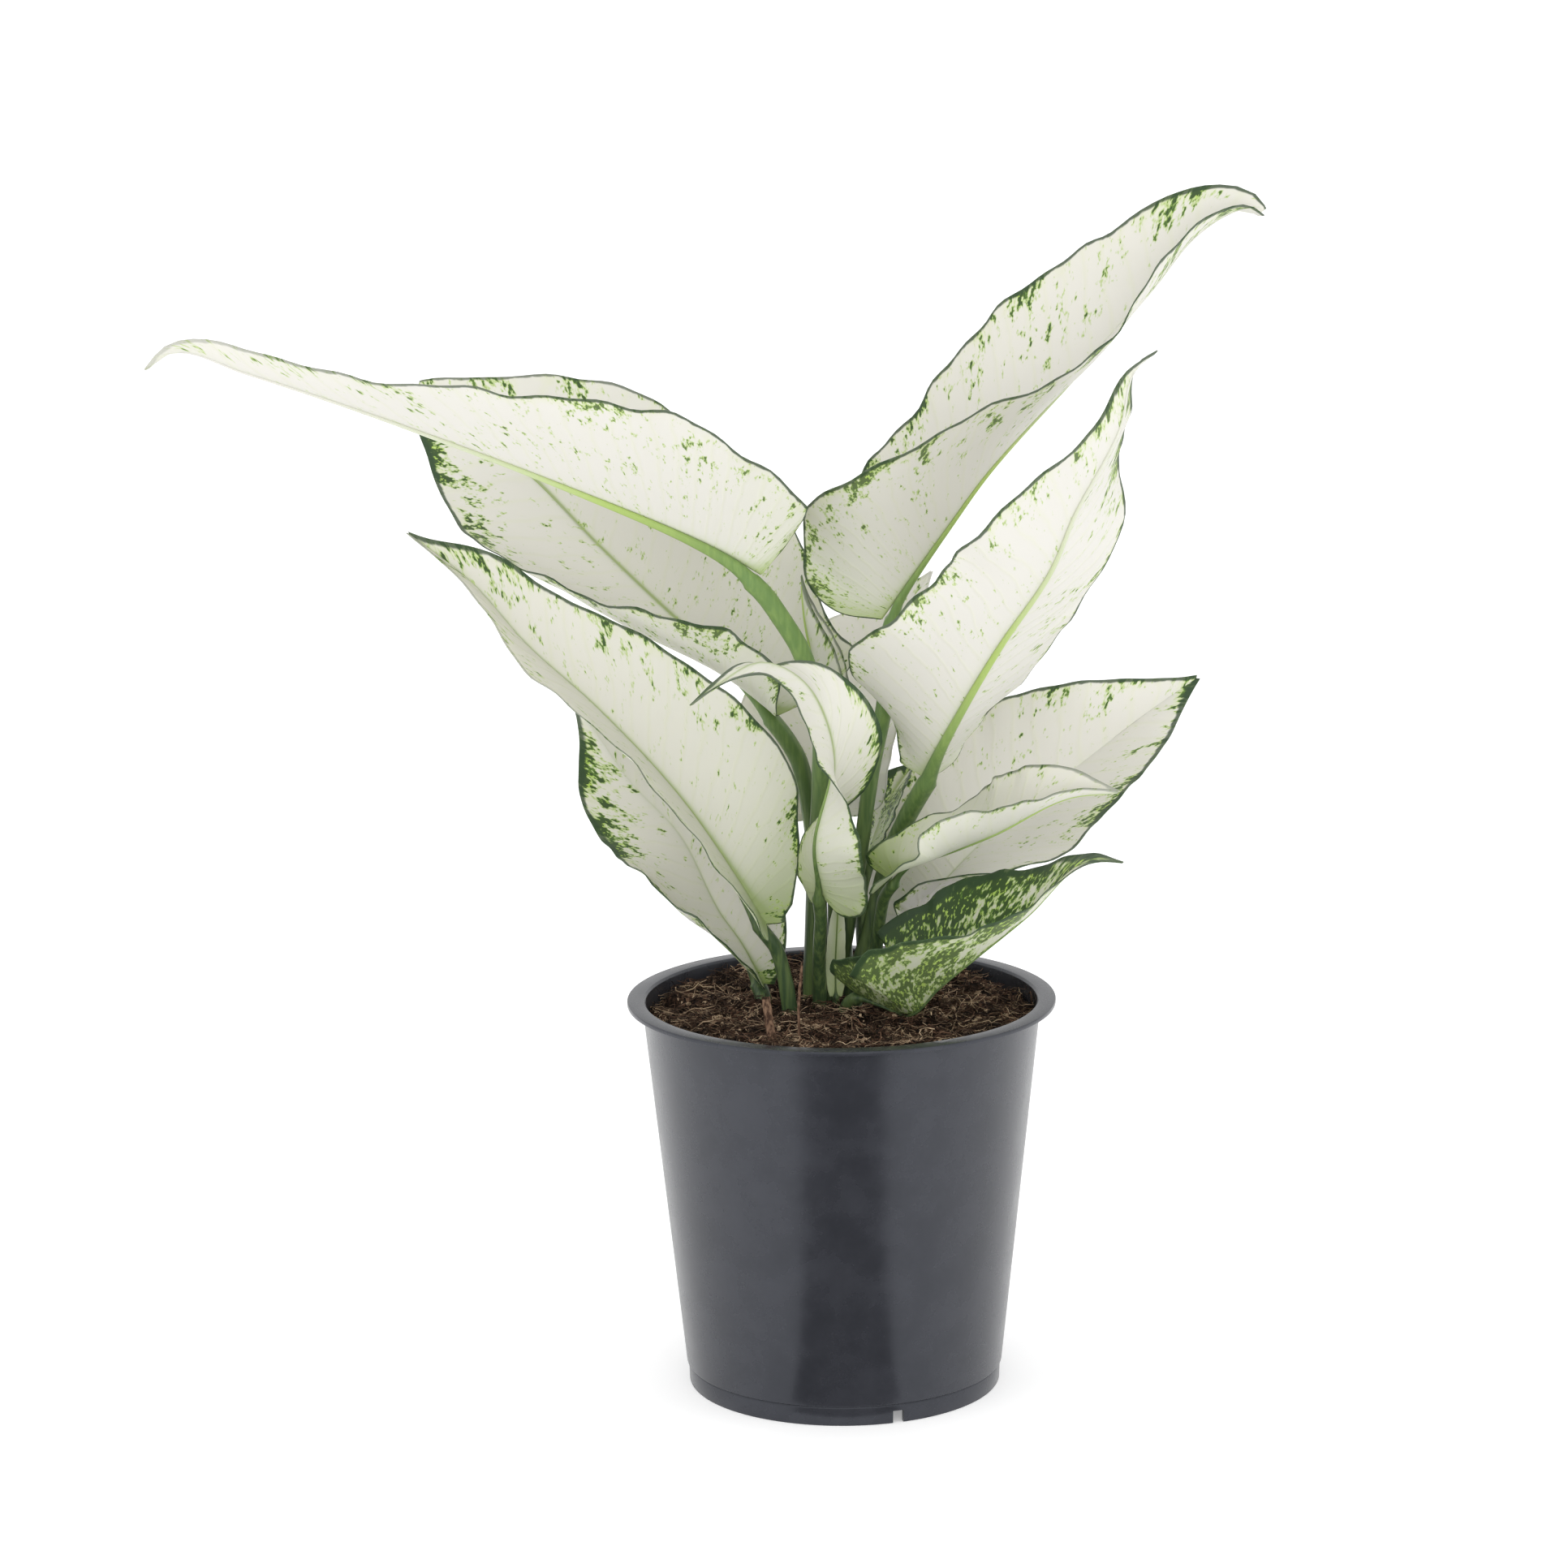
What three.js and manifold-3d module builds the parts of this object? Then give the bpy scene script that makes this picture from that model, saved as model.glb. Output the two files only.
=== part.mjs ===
// A young Chinese evergreen with white leaves in a 12 cm nursery pot.
// Millimetres, +Z up. The origin is the middle of the pot's underside.
// Every leaf is one solid: petiole, midrib and blade. Petioles stand in plain holes in the soil.

import * as THREE from 'three';
import { mergeVertices } from 'three/addons/utils/BufferGeometryUtils.js';
import Module from 'manifold-3d';

const wasm = await Module();
wasm.setup();

// Driving dimensions of the pot
const POT_HEIGHT = 111;
const RIM_RADIUS = 60;
const FLANGE_WIDTH = 4.6;
const FLANGE_THICKNESS = 1.3;
const WALL = 1;
const STEP_HEIGHT = 5.7;
const STEP_DEPTH = 0.7;
const FOOT_RADIUS = 44;
const FOOT_WALL = 1.4;
const FLOOR_BOTTOM = 4;
const FLOOR_TOP = 5.2;
const FOOT_PAD_RADIUS = 14;
const POT_SIDES = 48;
const DRAIN_HOLES = 8;
const DRAIN_HOLE_RADIUS = 4;
const DRAIN_CIRCLE = 28;
const NOTCH_ANGLE = -71;
const NOTCH_WIDTH = 3.2;
const NOTCH_HEIGHT = 3.6;

// Driving dimensions of the soil
const GAP = 0.3;
const SOIL_TOP = 107;
const SIDE_DIP = 3;
const BACK_RISE = 1.5;
const SOIL_RINGS = [9, 18, 27, 36, 44, 50];
const ROOT_DEPTH = 18;

// Driving dimensions shared by the leaves
const BLADE = 0.8;
const RIB_HEIGHT = 2;
const STALK_SIDES = 8;
const STALK_OVERLAP = 5;

// Half of a blade, laid flat, from base to tip.
// Each row: place on the margin, length along the midrib, distance from it, both as shares.
const OUTLINE = [
  [0, 0, 0],
  [0.04, -0.05, 0.3],
  [0.1, -0.045, 0.6],
  [0.2, 0.05, 0.86],
  [0.35, 0.22, 1],
  [0.5, 0.4, 0.98],
  [0.65, 0.58, 0.8],
  [0.8, 0.76, 0.46],
  [0.9, 0.88, 0.18],
  [0.96, 0.95, 0.06],
  [1, 1, 0],
];

// The leaves. stalk: points of the petiole from the soil up. rib: points of the midrib, base to tip.
// facing: heading of the leaf in degrees. width: left and right half. fold: degrees that each half
// is folded up at even stations from base to tip. trim: shares by which the margin of each half
// stands out or in at the trim stations. curl: degrees that each half curls across.
// thick: petiole radius at the soil and at the blade. lobe: length of the basal lobes.
// full: below 1 the tip is broad. waist: share by which the base of each half is narrowed.
// wave: height of the waves in the margin, how many there are, and where the first starts.
const LEAVES = {
  leaf_long_left: {
    stalk: [[-8, 10, 108], [-7, 8, 139], [-5, 4, 172], [-5, -1, 192], [-9, -7, 208]],
    rib: [[-21, -12, 233], [-34, -14, 241], [-68, -20, 257], [-120, -30, 279],
      [-157, -38, 293], [-175, -42, 299], [-184, -45, 293]],
    facing: 190, width: [36, 34], fold: [[71, 50, 37, 38, 85], [35, 30, 12, 5, 30]],
    trim: [[0.9, 0.9, 1.05, 1, 1, 0.75, 1.05], [1, 1, 1, 1, 1, 1, 1]],
    curl: [20, 20], thick: [2.4, 3], lobe: 0.1, full: 1, waist: [0, 0],
    wave: [1.2, 2.6, 0.1],
  },
  leaf_back_left: {
    stalk: [[-6, 17, 108], [-6, 20, 136], [-8, 22, 159], [-11, 21, 174]],
    rib: [[-17, 18, 188], [-30, 27, 200], [-47, 36, 214], [-68, 46, 233],
      [-86, 54, 251], [-106, 62, 266], [-122, 68, 275]],
    facing: 156, width: [40, 44], fold: [[54, 18, -3, -28, -27], [60, 59, 74, 67, 78]],
    trim: [[1, 1, 1, 0.95, 1.1, 1.05, 1.05], [0.95, 0.75, 0.95, 1, 1.1, 1.05, 0.9]],
    curl: [80, 20], thick: [2.4, 2.6], lobe: 0.5, full: 0.6, waist: [0, 0],
    wave: [1, 2.3, 0.4],
  },
  leaf_broad_left: {
    stalk: [[-14, -5, 106], [-17, -6, 124]],
    rib: [[-21, -8, 134], [-28, -8, 146], [-45, -7, 171], [-67, -4, 195],
      [-86, 0, 212], [-101, 3, 229], [-120, 5, 244]],
    facing: 180, width: [29, 30], fold: [[1, 3, -1, -2, -1], [68, 82, 82, 85, 85]],
    trim: [[1, 1, 1, 1, 1, 0.85, 1.05], [0.4, 0.75, 1, 0.95, 0.9, 1, 1.4]],
    curl: [10, 10], thick: [2.2, 2.2], lobe: 0.3, full: 1, waist: [0.5, 0.5],
    wave: [1, 2.8, 0.7],
  },
  leaf_low_left: {
    stalk: [[-22, 6, 106]],
    rib: [[-22, 8, 113], [-28, 11, 124], [-34, 15, 132], [-45, 25, 152],
      [-59, 33, 166], [-69, 40, 179], [-76, 45, 188]],
    facing: 143, width: [30, 26], fold: [[58, 20, -3, -20, -41], [85, 70, 50, 40, 40]],
    trim: [[0.6, 0.75, 0.9, 0.9, 0.9, 1, 1], [0.35, 0.6, 0.85, 1, 1, 1, 1]],
    curl: [60, 20], thick: [2.2, 2.2], lobe: 0.3, full: 1, waist: [0.7, 0.7],
    wave: [0.8, 2.5, 0.2],
  },
  leaf_top_right: {
    stalk: [[-1, 14, 108], [4, 13, 138], [9, 12, 173], [13, 7, 197]],
    rib: [[12, 1, 218], [30, -3, 244], [41, -3, 259], [68, 0, 288],
      [86, 2, 308], [99, 4, 323], [111, 5, 329], [118, 5, 326]],
    facing: 0, width: [36, 35], fold: [[54, 42, 56, 65, 74], [118, 53, 14, 13, 31]],
    trim: [[1, 1.05, 1, 0.95, 0.95, 0.95, 1], [1.15, 1.1, 0.95, 0.95, 1.05, 1.1, 1]],
    curl: [20, 20], thick: [1.9, 2.8], lobe: 0.8, full: 0.6, waist: [0, 0],
    wave: [1.2, 3.1, 0.3],
  },
  leaf_upright_right: {
    stalk: [[3, 10, 108], [8, 10, 127], [15, 6, 153], [19, 0, 163]],
    rib: [[23, -6, 175], [28, -15, 187], [43, -26, 215], [56, -38, 237],
      [62, -48, 254], [73, -62, 279], [76, -68, 294], [83, -74, 301]],
    facing: -47, width: [34, 36], fold: [[23, 10, 10, 35, 50], [100, 30, 19, 13, 3]],
    trim: [[0.95, 0.95, 0.9, 0.75, 1.1, 1.05, 0.95], [0.5, 0.8, 1, 0.9, 1, 0.95, 0.9]],
    curl: [20, 20], thick: [2, 2.8], lobe: 0.6, full: 1, waist: [0, 0],
    wave: [1.1, 2.4, 0.6],
  },
  leaf_back_right: {
    stalk: [[19, 13, 107]],
    rib: [[19, 14, 127], [33, 22, 142], [48, 32, 154], [69, 44, 167], [89, 54, 180], [106, 62, 190]],
    facing: 25, width: [36, 34], fold: [[10, 36, 51, 78, 79], [55, 1, -4, -9, -30]],
    trim: [[1, 1, 1, 0.85, 0.95, 0.95, 1], [0.8, 0.85, 0.9, 1, 1, 1, 1.05]],
    curl: [10, 10], thick: [2.2, 2.4], lobe: 0.2, full: 0.9, waist: [0.5, 0.5],
    wave: [0.9, 2.2, 0.5],
  },
  leaf_folded_right: {
    stalk: [[9, 5, 108], [11, -4, 135]],
    rib: [[13, -14, 148], [17, -18, 152], [31, -23, 158],
      [42, -30, 164], [61, -41, 176], [75, -49, 179]],
    facing: -33, width: [19, 18], fold: [[95, 35, 56, 75, 60], [-4, 3, 29, 17, 65]],
    trim: [[0.75, 0.6, 0.95, 1, 1, 1, 1], [1, 0.95, 1.1, 1.25, 0.9, 1, 1.05]],
    curl: [20, 20], thick: [1.6, 1.8], lobe: 0.8, full: 0.8, waist: [0, 0.9],
    wave: [0.8, 2.6, 0],
  },
  leaf_low_front: {
    stalk: [[1, -3, 107]],
    rib: [[4, -7, 114], [11, -13, 112], [19, -20, 111], [26, -24, 119],
      [50, -32, 141], [67, -38, 158], [77, -42, 158]],
    facing: -25, width: [26, 26], fold: [[88, 68, 69, 42, 17], [44, 47, 21, 2, 7]],
    trim: [[0.5, 0.75, 1, 0.9, 1, 1, 0.95], [1, 1, 0.95, 1.1, 0.95, 1, 0.95]],
    curl: [20, 20], thick: [2, 2], lobe: 0.6, full: 1, waist: [0.3, 0.3],
    wave: [0.8, 2.4, 0.2],
  },
  leaf_hooked_front: {
    stalk: [[-6, 4, 108], [-6, -5, 127]],
    rib: [[-5, -13, 143], [-7, -24, 160], [-2, -31, 184], [-5, -39, 200],
      [-12, -50, 212], [-22, -59, 217], [-33, -66, 212], [-41, -70, 207]],
    facing: 215, width: [17, 15], fold: [[36, 9, -53, -31, 69], [5, 70, 89, -5, 77]],
    trim: [[1.2, 0.95, 0.95, 0.95, 1.05, 0.9, 0.95], [1, 1.15, 0.95, 1.1, 0.95, 0.95, 1]],
    curl: [30, 30], thick: [1.8, 1.8], lobe: 1, full: 1, waist: [0.3, 0.3],
    wave: [0.7, 2.8, 0.5],
  },
  leaf_small_inner: {
    stalk: [[7, 14, 108], [6, 19, 132]],
    rib: [[8, 20, 147], [12, 27, 156], [16, 34, 162], [23, 42, 170]],
    facing: 35, width: [14, 14], fold: [[-32, -33, -17, 28, 61], [32, 25, 33, 35, 30]],
    trim: [[1, 1, 1.05, 1.05, 1.05, 1.05, 1.05], [1, 1, 1, 1, 1, 1, 1]],
    curl: [20, 20], thick: [1.6, 1.6], lobe: 1, full: 1, waist: [0, 0],
    wave: [0.4, 2, 0],
  },
  leaf_rolled_centre: {
    stalk: [[-2.5, 8.5, 108], [-2, 13, 138]],
    rib: [[-4, 16, 175], [-6, 14, 191], [-7, 12, 205], [-9, 10, 217], [-10, 8, 230]],
    facing: 180, width: [9, 12], fold: [[75, 75, 75, 75, 75], [55, 55, 55, 55, 55]],
    trim: [[1, 1, 1, 1, 1, 1, 1], [1, 1, 1, 1, 1, 1, 1]],
    curl: [60, 40], thick: [1.6, 1.6], lobe: 0.5, full: 1, waist: [0, 0],
    wave: [0.4, 2, 0],
  },
  leaf_sheath: {
    stalk: [[-1.5, 4.5, 107]],
    rib: [[-1.5, 4.5, 110], [-1.5, 4.5, 120], [-1, 4, 130], [-0.5, 3.5, 139]],
    facing: 270, width: [3, 3], fold: [[-30, -25, -25, -20, -10], [-30, -25, -25, -20, -10]],
    trim: [[1, 1, 1, 1, 1, 1, 1], [1, 1, 1, 1, 1, 1, 1]],
    curl: [-50, -50], thick: [1.1, 0.9], lobe: 0, full: 0.5, waist: [0.6, 0.6],
    wave: [0, 1, 0],
  },
  leaf_shaded_back: {
    stalk: [[1.5, 20.5, 108], [0, 30, 139]],
    rib: [[-3, 36, 156], [-3, 42, 172], [5, 54, 188], [17, 68, 204], [29, 80, 219]],
    facing: 60, width: [28, 28], fold: [[20, 20, 20, 20, 20], [20, 20, 20, 20, 20]],
    trim: [[1, 1, 1, 1, 1, 1, 1], [1, 1, 1, 1, 1, 1, 1]],
    curl: [10, 10], thick: [2.2, 2.2], lobe: 0.5, full: 1, waist: [0, 0],
    wave: [0.8, 2.2, 0],
  },
};

// Places on the margin, from base to tip, where its trim is given
const TRIM_STATIONS = [0, 0.1, 0.22, 0.36, 0.5, 0.65, 0.8, 0.92, 1];
const WAVE_SHIFT = 0.37;

// Rows of a blade from base to tip and columns from midrib to margin, as shares
const LARGE_ROWS = [0, 0.04, 0.1, 0.16, 0.23, 0.3, 0.38, 0.46, 0.54, 0.62, 0.7, 0.78, 0.86, 0.93, 1];
const SMALL_ROWS = [0, 0.05, 0.12, 0.22, 0.34, 0.46, 0.58, 0.7, 0.82, 0.92, 1];
const LARGE_COLUMNS = [0, 0.08, 0.35, 0.6, 0.82, 1];
const SMALL_COLUMNS = [0, 0.12, 0.5, 1];
const LARGE_LEAF_LENGTH = 90;

// The two dried stalks, as points from the soil up and radii
const DRIED_STALKS = {
  dried_stalk_thick: { points: [[-19, -44, 108], [-20, -42, 114], [-21, -39, 121]], thick: [1.3, 0.8] },
  dried_stalk_thin: { points: [[-12, -36, 108], [-12, -33, 118], [-11, -29, 128]], thick: [0.7, 0.5] },
};

const FINISHES = {
  plastic: new THREE.MeshStandardMaterial({ color: 0x2c2d30, roughness: 0.38, metalness: 0 }),
  soil: new THREE.MeshStandardMaterial({ color: 0x3a261b, roughness: 1, metalness: 0 }),
  leaf: new THREE.MeshStandardMaterial({ color: 0xdfe3d2, roughness: 0.5, metalness: 0 }),
  mottled_leaf: new THREE.MeshStandardMaterial({ color: 0x6f9160, roughness: 0.5, metalness: 0 }),
  dried: new THREE.MeshStandardMaterial({ color: 0x7a5538, roughness: 0.9, metalness: 0 }),
};

const radians = THREE.MathUtils.degToRad;

/** The closed mesh of a geometry as a solid that can be joined and cut. */
function toSolid(geometry) {
  const bare = geometry.clone();
  bare.deleteAttribute('normal');
  bare.deleteAttribute('uv');
  const merged = mergeVertices(bare, 1e-4);
  const vertProperties = new Float32Array(merged.attributes.position.array);
  const triVerts = new Uint32Array(merged.index.array);
  return new wasm.Manifold(new wasm.Mesh({ numProp: 3, vertProperties, triVerts }));
}

/** The geometry of a solid. */
function toGeometry(solid) {
  const mesh = solid.getMesh();
  const geometry = new THREE.BufferGeometry();
  geometry.setAttribute('position', new THREE.BufferAttribute(mesh.vertProperties, 3));
  geometry.setIndex(new THREE.BufferAttribute(mesh.triVerts, 1));
  return geometry;
}

/** A geometry from rows of points and triangles of point numbers. */
function geometryFrom(points, triangles) {
  const geometry = new THREE.BufferGeometry();
  geometry.setAttribute('position', new THREE.Float32BufferAttribute(points.flat(), 3));
  geometry.setIndex(triangles.flat());
  return geometry;
}

/** Values between stations on a smooth curve through all of them. */
function smooth(stations, values, place) {
  const last = stations.length - 1;
  const t = THREE.MathUtils.clamp(place, stations[0], stations[last]);
  let k = 0;
  while (k < last - 1 && t > stations[k + 1]) k += 1;
  const step = stations[k + 1] - stations[k];
  const x = (t - stations[k]) / step;
  return values[k].map((_, c) => {
    const slope = (i) => (values[i + 1][c] - values[i][c]) / (stations[i + 1] - stations[i]);
    const tangent = (i) => (slope(Math.max(i - 1, 0)) + slope(Math.min(i, last - 1))) / 2;
    const from = values[k][c] * (2 * x ** 3 - 3 * x ** 2 + 1) + tangent(k) * step * (x ** 3 - 2 * x ** 2 + x);
    const to = values[k + 1][c] * (3 * x ** 2 - 2 * x ** 3) + tangent(k + 1) * step * (x ** 3 - x ** 2);
    return from + to;
  });
}

/** A smooth path through points, read by the length along it. It runs on straight past its ends. */
class Path {
  constructor(points) {
    const chords = [0];
    for (let i = 1; i < points.length; i += 1) {
      chords.push(chords[i - 1] + Math.hypot(...points[i].map((c, axis) => c - points[i - 1][axis])));
    }
    const steps = 200;
    this.points = [];
    this.lengths = [];
    for (let i = 0; i <= steps; i += 1) {
      const point = new THREE.Vector3(...smooth(chords, points, (chords.at(-1) * i) / steps));
      this.lengths.push(i === 0 ? 0 : this.lengths[i - 1] + point.distanceTo(this.points[i - 1]));
      this.points.push(point);
    }
    this.length = this.lengths[steps];
  }

  inside(distance) {
    let k = 0;
    while (k < this.lengths.length - 2 && distance > this.lengths[k + 1]) k += 1;
    const share = (distance - this.lengths[k]) / (this.lengths[k + 1] - this.lengths[k]);
    return this.points[k].clone().lerp(this.points[k + 1], share);
  }

  tangent(distance) {
    const d = THREE.MathUtils.clamp(distance, 0, this.length);
    const reach = this.length * 0.01;
    const ahead = this.inside(Math.min(d + reach, this.length));
    return ahead.sub(this.inside(Math.max(d - reach, 0))).normalize();
  }

  at(distance) {
    const d = THREE.MathUtils.clamp(distance, 0, this.length);
    return this.inside(d).addScaledVector(this.tangent(d), distance - d);
  }
}

/** A tube of many-sided sections along a path, tapering from one radius to the other, closed. */
function tube(path, from, to, radii, steps, sides) {
  const points = [];
  const triangles = [];
  const across = new THREE.Vector3(0, 1, 0);
  for (let i = 0; i <= steps; i += 1) {
    const distance = from + ((to - from) * i) / steps;
    const centre = path.at(distance);
    const ahead = path.tangent(distance);
    const side = across.clone().addScaledVector(ahead, -across.dot(ahead)).normalize();
    const up = ahead.clone().cross(side);
    const radius = THREE.MathUtils.lerp(radii[0], radii[1], i / steps);
    for (let k = 0; k < sides; k += 1) {
      const turn = (2 * Math.PI * k) / sides;
      const point = centre.clone().addScaledVector(side, radius * Math.cos(turn));
      points.push(point.addScaledVector(up, radius * Math.sin(turn)).toArray());
    }
  }
  const last = steps * sides;
  for (let k = 0; k < sides; k += 1) {
    const next = (k + 1) % sides;
    for (let i = 0; i < steps; i += 1) {
      const a = i * sides;
      triangles.push([a + k, a + next, a + sides + next], [a + k, a + sides + next, a + sides + k]);
    }
    if (k > 0 && k < sides - 1) triangles.push([0, k + 1, k], [last, last + k, last + k + 1]);
  }
  return geometryFrom(points, triangles);
}

/** A point of a blade's middle surface. side: 1 left, -1 right; u base to tip; v midrib to margin. */
function bladePoint(leaf, path, side, u, v) {
  const half = side > 0 ? 0 : 1;
  const width = leaf.width[half];
  let [along, away] = smooth(OUTLINE.map((row) => row[0]), OUTLINE.map((row) => row.slice(1)), u);
  away = Math.max(away, 0);
  if (u > 0.42) away **= leaf.full;
  away *= 1 - leaf.waist[half] * Math.max(0, 1 - u / 0.35) ** 2;
  away *= smooth(TRIM_STATIONS, [1, ...leaf.trim[half], 1].map((t) => [t]), u)[0];
  if (along < 0) along *= leaf.lobe;
  const station = u ** 2 * (1 - v) + along * v;
  const reach = away * v * width;

  const folds = leaf.fold[half];
  const stations = folds.map((_, i) => i / (folds.length - 1));
  const fold = radians(smooth(stations, folds.map((f) => [f]), THREE.MathUtils.clamp(station, 0, 1))[0]);
  const bend = radians(leaf.curl[half]) / width;
  const start = fold - radians(leaf.curl[half]) / 2;
  const slope = start + bend * reach;
  const [swell, count, phase] = leaf.wave;
  const wave = Math.sin(2 * Math.PI * (count * u + phase + WAVE_SHIFT * half));
  const lift = swell * v ** 2 * wave * Math.min(1, 1.5 * away);
  const out = (Math.sin(slope) - Math.sin(start)) / bend - lift * Math.sin(slope);
  const rise = (Math.cos(start) - Math.cos(slope)) / bend + lift * Math.cos(slope);

  const heading = radians(leaf.facing);
  const left = new THREE.Vector3(-Math.sin(heading), Math.cos(heading), 0);
  const ahead = path.tangent(station * path.length);
  left.addScaledVector(ahead, -left.dot(ahead)).normalize();
  const upper = ahead.clone().cross(left);
  const point = path.at(station * path.length);
  return point.addScaledVector(left, side * out).addScaledVector(upper, rise);
}

/** The solid blade: its middle surface thickened both ways, with the midrib raised underneath. */
function blade(leaf, path) {
  const large = path.length > LARGE_LEAF_LENGTH;
  const rows = large ? LARGE_ROWS : SMALL_ROWS;
  const columns = large ? LARGE_COLUMNS : SMALL_COLUMNS;
  const reach = columns.length - 1;
  const perRow = 2 * reach + 1;
  const inner = rows.length - 2;
  const number = (row, column) => {
    if (row === 0) return 0;
    return row > inner ? 1 + inner * perRow : 1 + (row - 1) * perRow + column;
  };

  const points = [bladePoint(leaf, path, 1, 0, 0)];
  const ribLift = [1];
  for (let row = 1; row <= inner; row += 1) {
    for (let column = 0; column < perRow; column += 1) {
      const side = column < reach ? 1 : -1;
      points.push(bladePoint(leaf, path, side, rows[row], columns[Math.abs(column - reach)]));
      ribLift.push(column === reach ? 1 - rows[row] : 0);
    }
  }
  points.push(bladePoint(leaf, path, 1, 1, 0));
  ribLift.push(0);

  const face = [];
  for (let row = 0; row <= inner; row += 1) {
    for (let column = 0; column < perRow - 1; column += 1) {
      const a = number(row, column);
      const b = number(row, column + 1);
      const c = number(row + 1, column + 1);
      const d = number(row + 1, column);
      const left = column < reach;
      const pair = left ? [[a, b, c], [a, c, d]] : [[a, b, d], [b, c, d]];
      face.push(...pair.filter(([i, j, k]) => i !== j && j !== k && i !== k));
    }
  }

  const middle = geometryFrom(points.map((point) => point.toArray()), face);
  middle.computeVertexNormals();
  const normals = middle.attributes.normal;
  const upperFace = [];
  const underFace = [];
  points.forEach((point, i) => {
    const normal = new THREE.Vector3().fromBufferAttribute(normals, i);
    upperFace.push(point.clone().addScaledVector(normal, BLADE / 2).toArray());
    const depth = BLADE / 2 + RIB_HEIGHT * ribLift[i];
    underFace.push(point.clone().addScaledVector(normal, -depth).toArray());
  });

  const edge = [];
  for (let row = 0; row <= inner; row += 1) edge.push([number(row, 0), number(row + 1, 0)]);
  for (let row = inner + 1; row > 0; row -= 1) {
    edge.push([number(row, perRow - 1), number(row - 1, perRow - 1)]);
  }
  const under = points.length;
  const triangles = [...face];
  face.forEach(([i, j, k]) => triangles.push([i + under, k + under, j + under]));
  edge.forEach(([i, j]) => triangles.push([i, j, j + under], [i, j + under, i + under]));
  return geometryFrom([...upperFace, ...underFace], triangles);
}

/** The petiole's path, from its foot in the soil to the start of the midrib. */
function stalkPath(stalk, end) {
  const [x, y, z] = stalk[0];
  return new Path([[x, y, z - ROOT_DEPTH], ...stalk, end]);
}

/** One leaf: its blade joined to its petiole. */
function leafSolid(leaf) {
  const rib = new Path(leaf.rib);
  const path = stalkPath(leaf.stalk, leaf.rib[0]);
  const steps = 3 + 2 * leaf.stalk.length;
  const end = path.length + STALK_OVERLAP;
  const stalk = toSolid(tube(path, 0, end, leaf.thick, steps, STALK_SIDES));
  return toSolid(blade(leaf, rib)).add(stalk);
}

/** Height of the soil at a place: a low mound that dips at the sides and spills to the front rim. */
function soilHeight(x, y) {
  const edge = RIM_RADIUS - FLANGE_WIDTH;
  const side = (x / edge) ** 4;
  const front = Math.max(0, (-y - 22) / 33) ** 2 * Math.exp(-(((x - 2) / 34) ** 2));
  const back = Math.max(0, y / edge) ** 2;
  const lumps = 0.7 * Math.sin(0.21 * x + 1) * Math.cos(0.17 * y);
  return SOIL_TOP + 3.2 * front - SIDE_DIP * side + BACK_RISE * back + lumps;
}

/** The pot's wall turned round the axis, with its flange, step, foot ring and raised floor. */
function potGeometry() {
  const wallOut = RIM_RADIUS - FLANGE_WIDTH + 0.4;
  const stepRadius = FOOT_RADIUS + STEP_DEPTH;
  const profile = [
    [0, 0],
    [FOOT_PAD_RADIUS, 0],
    [FOOT_PAD_RADIUS + 2, FLOOR_BOTTOM],
    [FOOT_RADIUS - FOOT_WALL, FLOOR_BOTTOM],
    [FOOT_RADIUS - FOOT_WALL, 0],
    [FOOT_RADIUS, 0],
    [FOOT_RADIUS + 0.2, STEP_HEIGHT - 0.3],
    [stepRadius, STEP_HEIGHT],
    [wallOut, POT_HEIGHT - FLANGE_THICKNESS],
    [RIM_RADIUS, POT_HEIGHT - FLANGE_THICKNESS],
    [RIM_RADIUS, POT_HEIGHT],
    [RIM_RADIUS - FLANGE_WIDTH, POT_HEIGHT],
    [wallOut - WALL, POT_HEIGHT - 0.6],
    [FOOT_RADIUS - 0.2, FLOOR_TOP + 1],
    [FOOT_RADIUS - 1.5, FLOOR_TOP],
    [FOOT_PAD_RADIUS, FLOOR_TOP],
    [FOOT_PAD_RADIUS - 2, FLOOR_TOP - FLOOR_BOTTOM],
    [0, FLOOR_TOP - FLOOR_BOTTOM],
  ];
  const turned = new THREE.LatheGeometry(profile.map(([r, z]) => new THREE.Vector2(r, z)), POT_SIDES);
  turned.rotateX(Math.PI / 2);
  return turned;
}

/** The pot with its drainage holes and the notch in its foot ring. */
function pot() {
  let solid = toSolid(potGeometry());
  for (let i = 0; i < DRAIN_HOLES; i += 1) {
    const turn = (2 * Math.PI * (i + 0.5)) / DRAIN_HOLES;
    const drill = new THREE.CylinderGeometry(DRAIN_HOLE_RADIUS, DRAIN_HOLE_RADIUS, 4, 16);
    drill.rotateX(Math.PI / 2);
    drill.translate(DRAIN_CIRCLE * Math.cos(turn), DRAIN_CIRCLE * Math.sin(turn), FLOOR_BOTTOM + 0.6);
    solid = solid.subtract(toSolid(drill));
  }
  const notch = new THREE.BoxGeometry(8, NOTCH_WIDTH, 2 * NOTCH_HEIGHT);
  notch.translate(FOOT_RADIUS, 0, 0);
  notch.rotateZ(radians(NOTCH_ANGLE));
  return solid.subtract(toSolid(notch));
}

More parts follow.
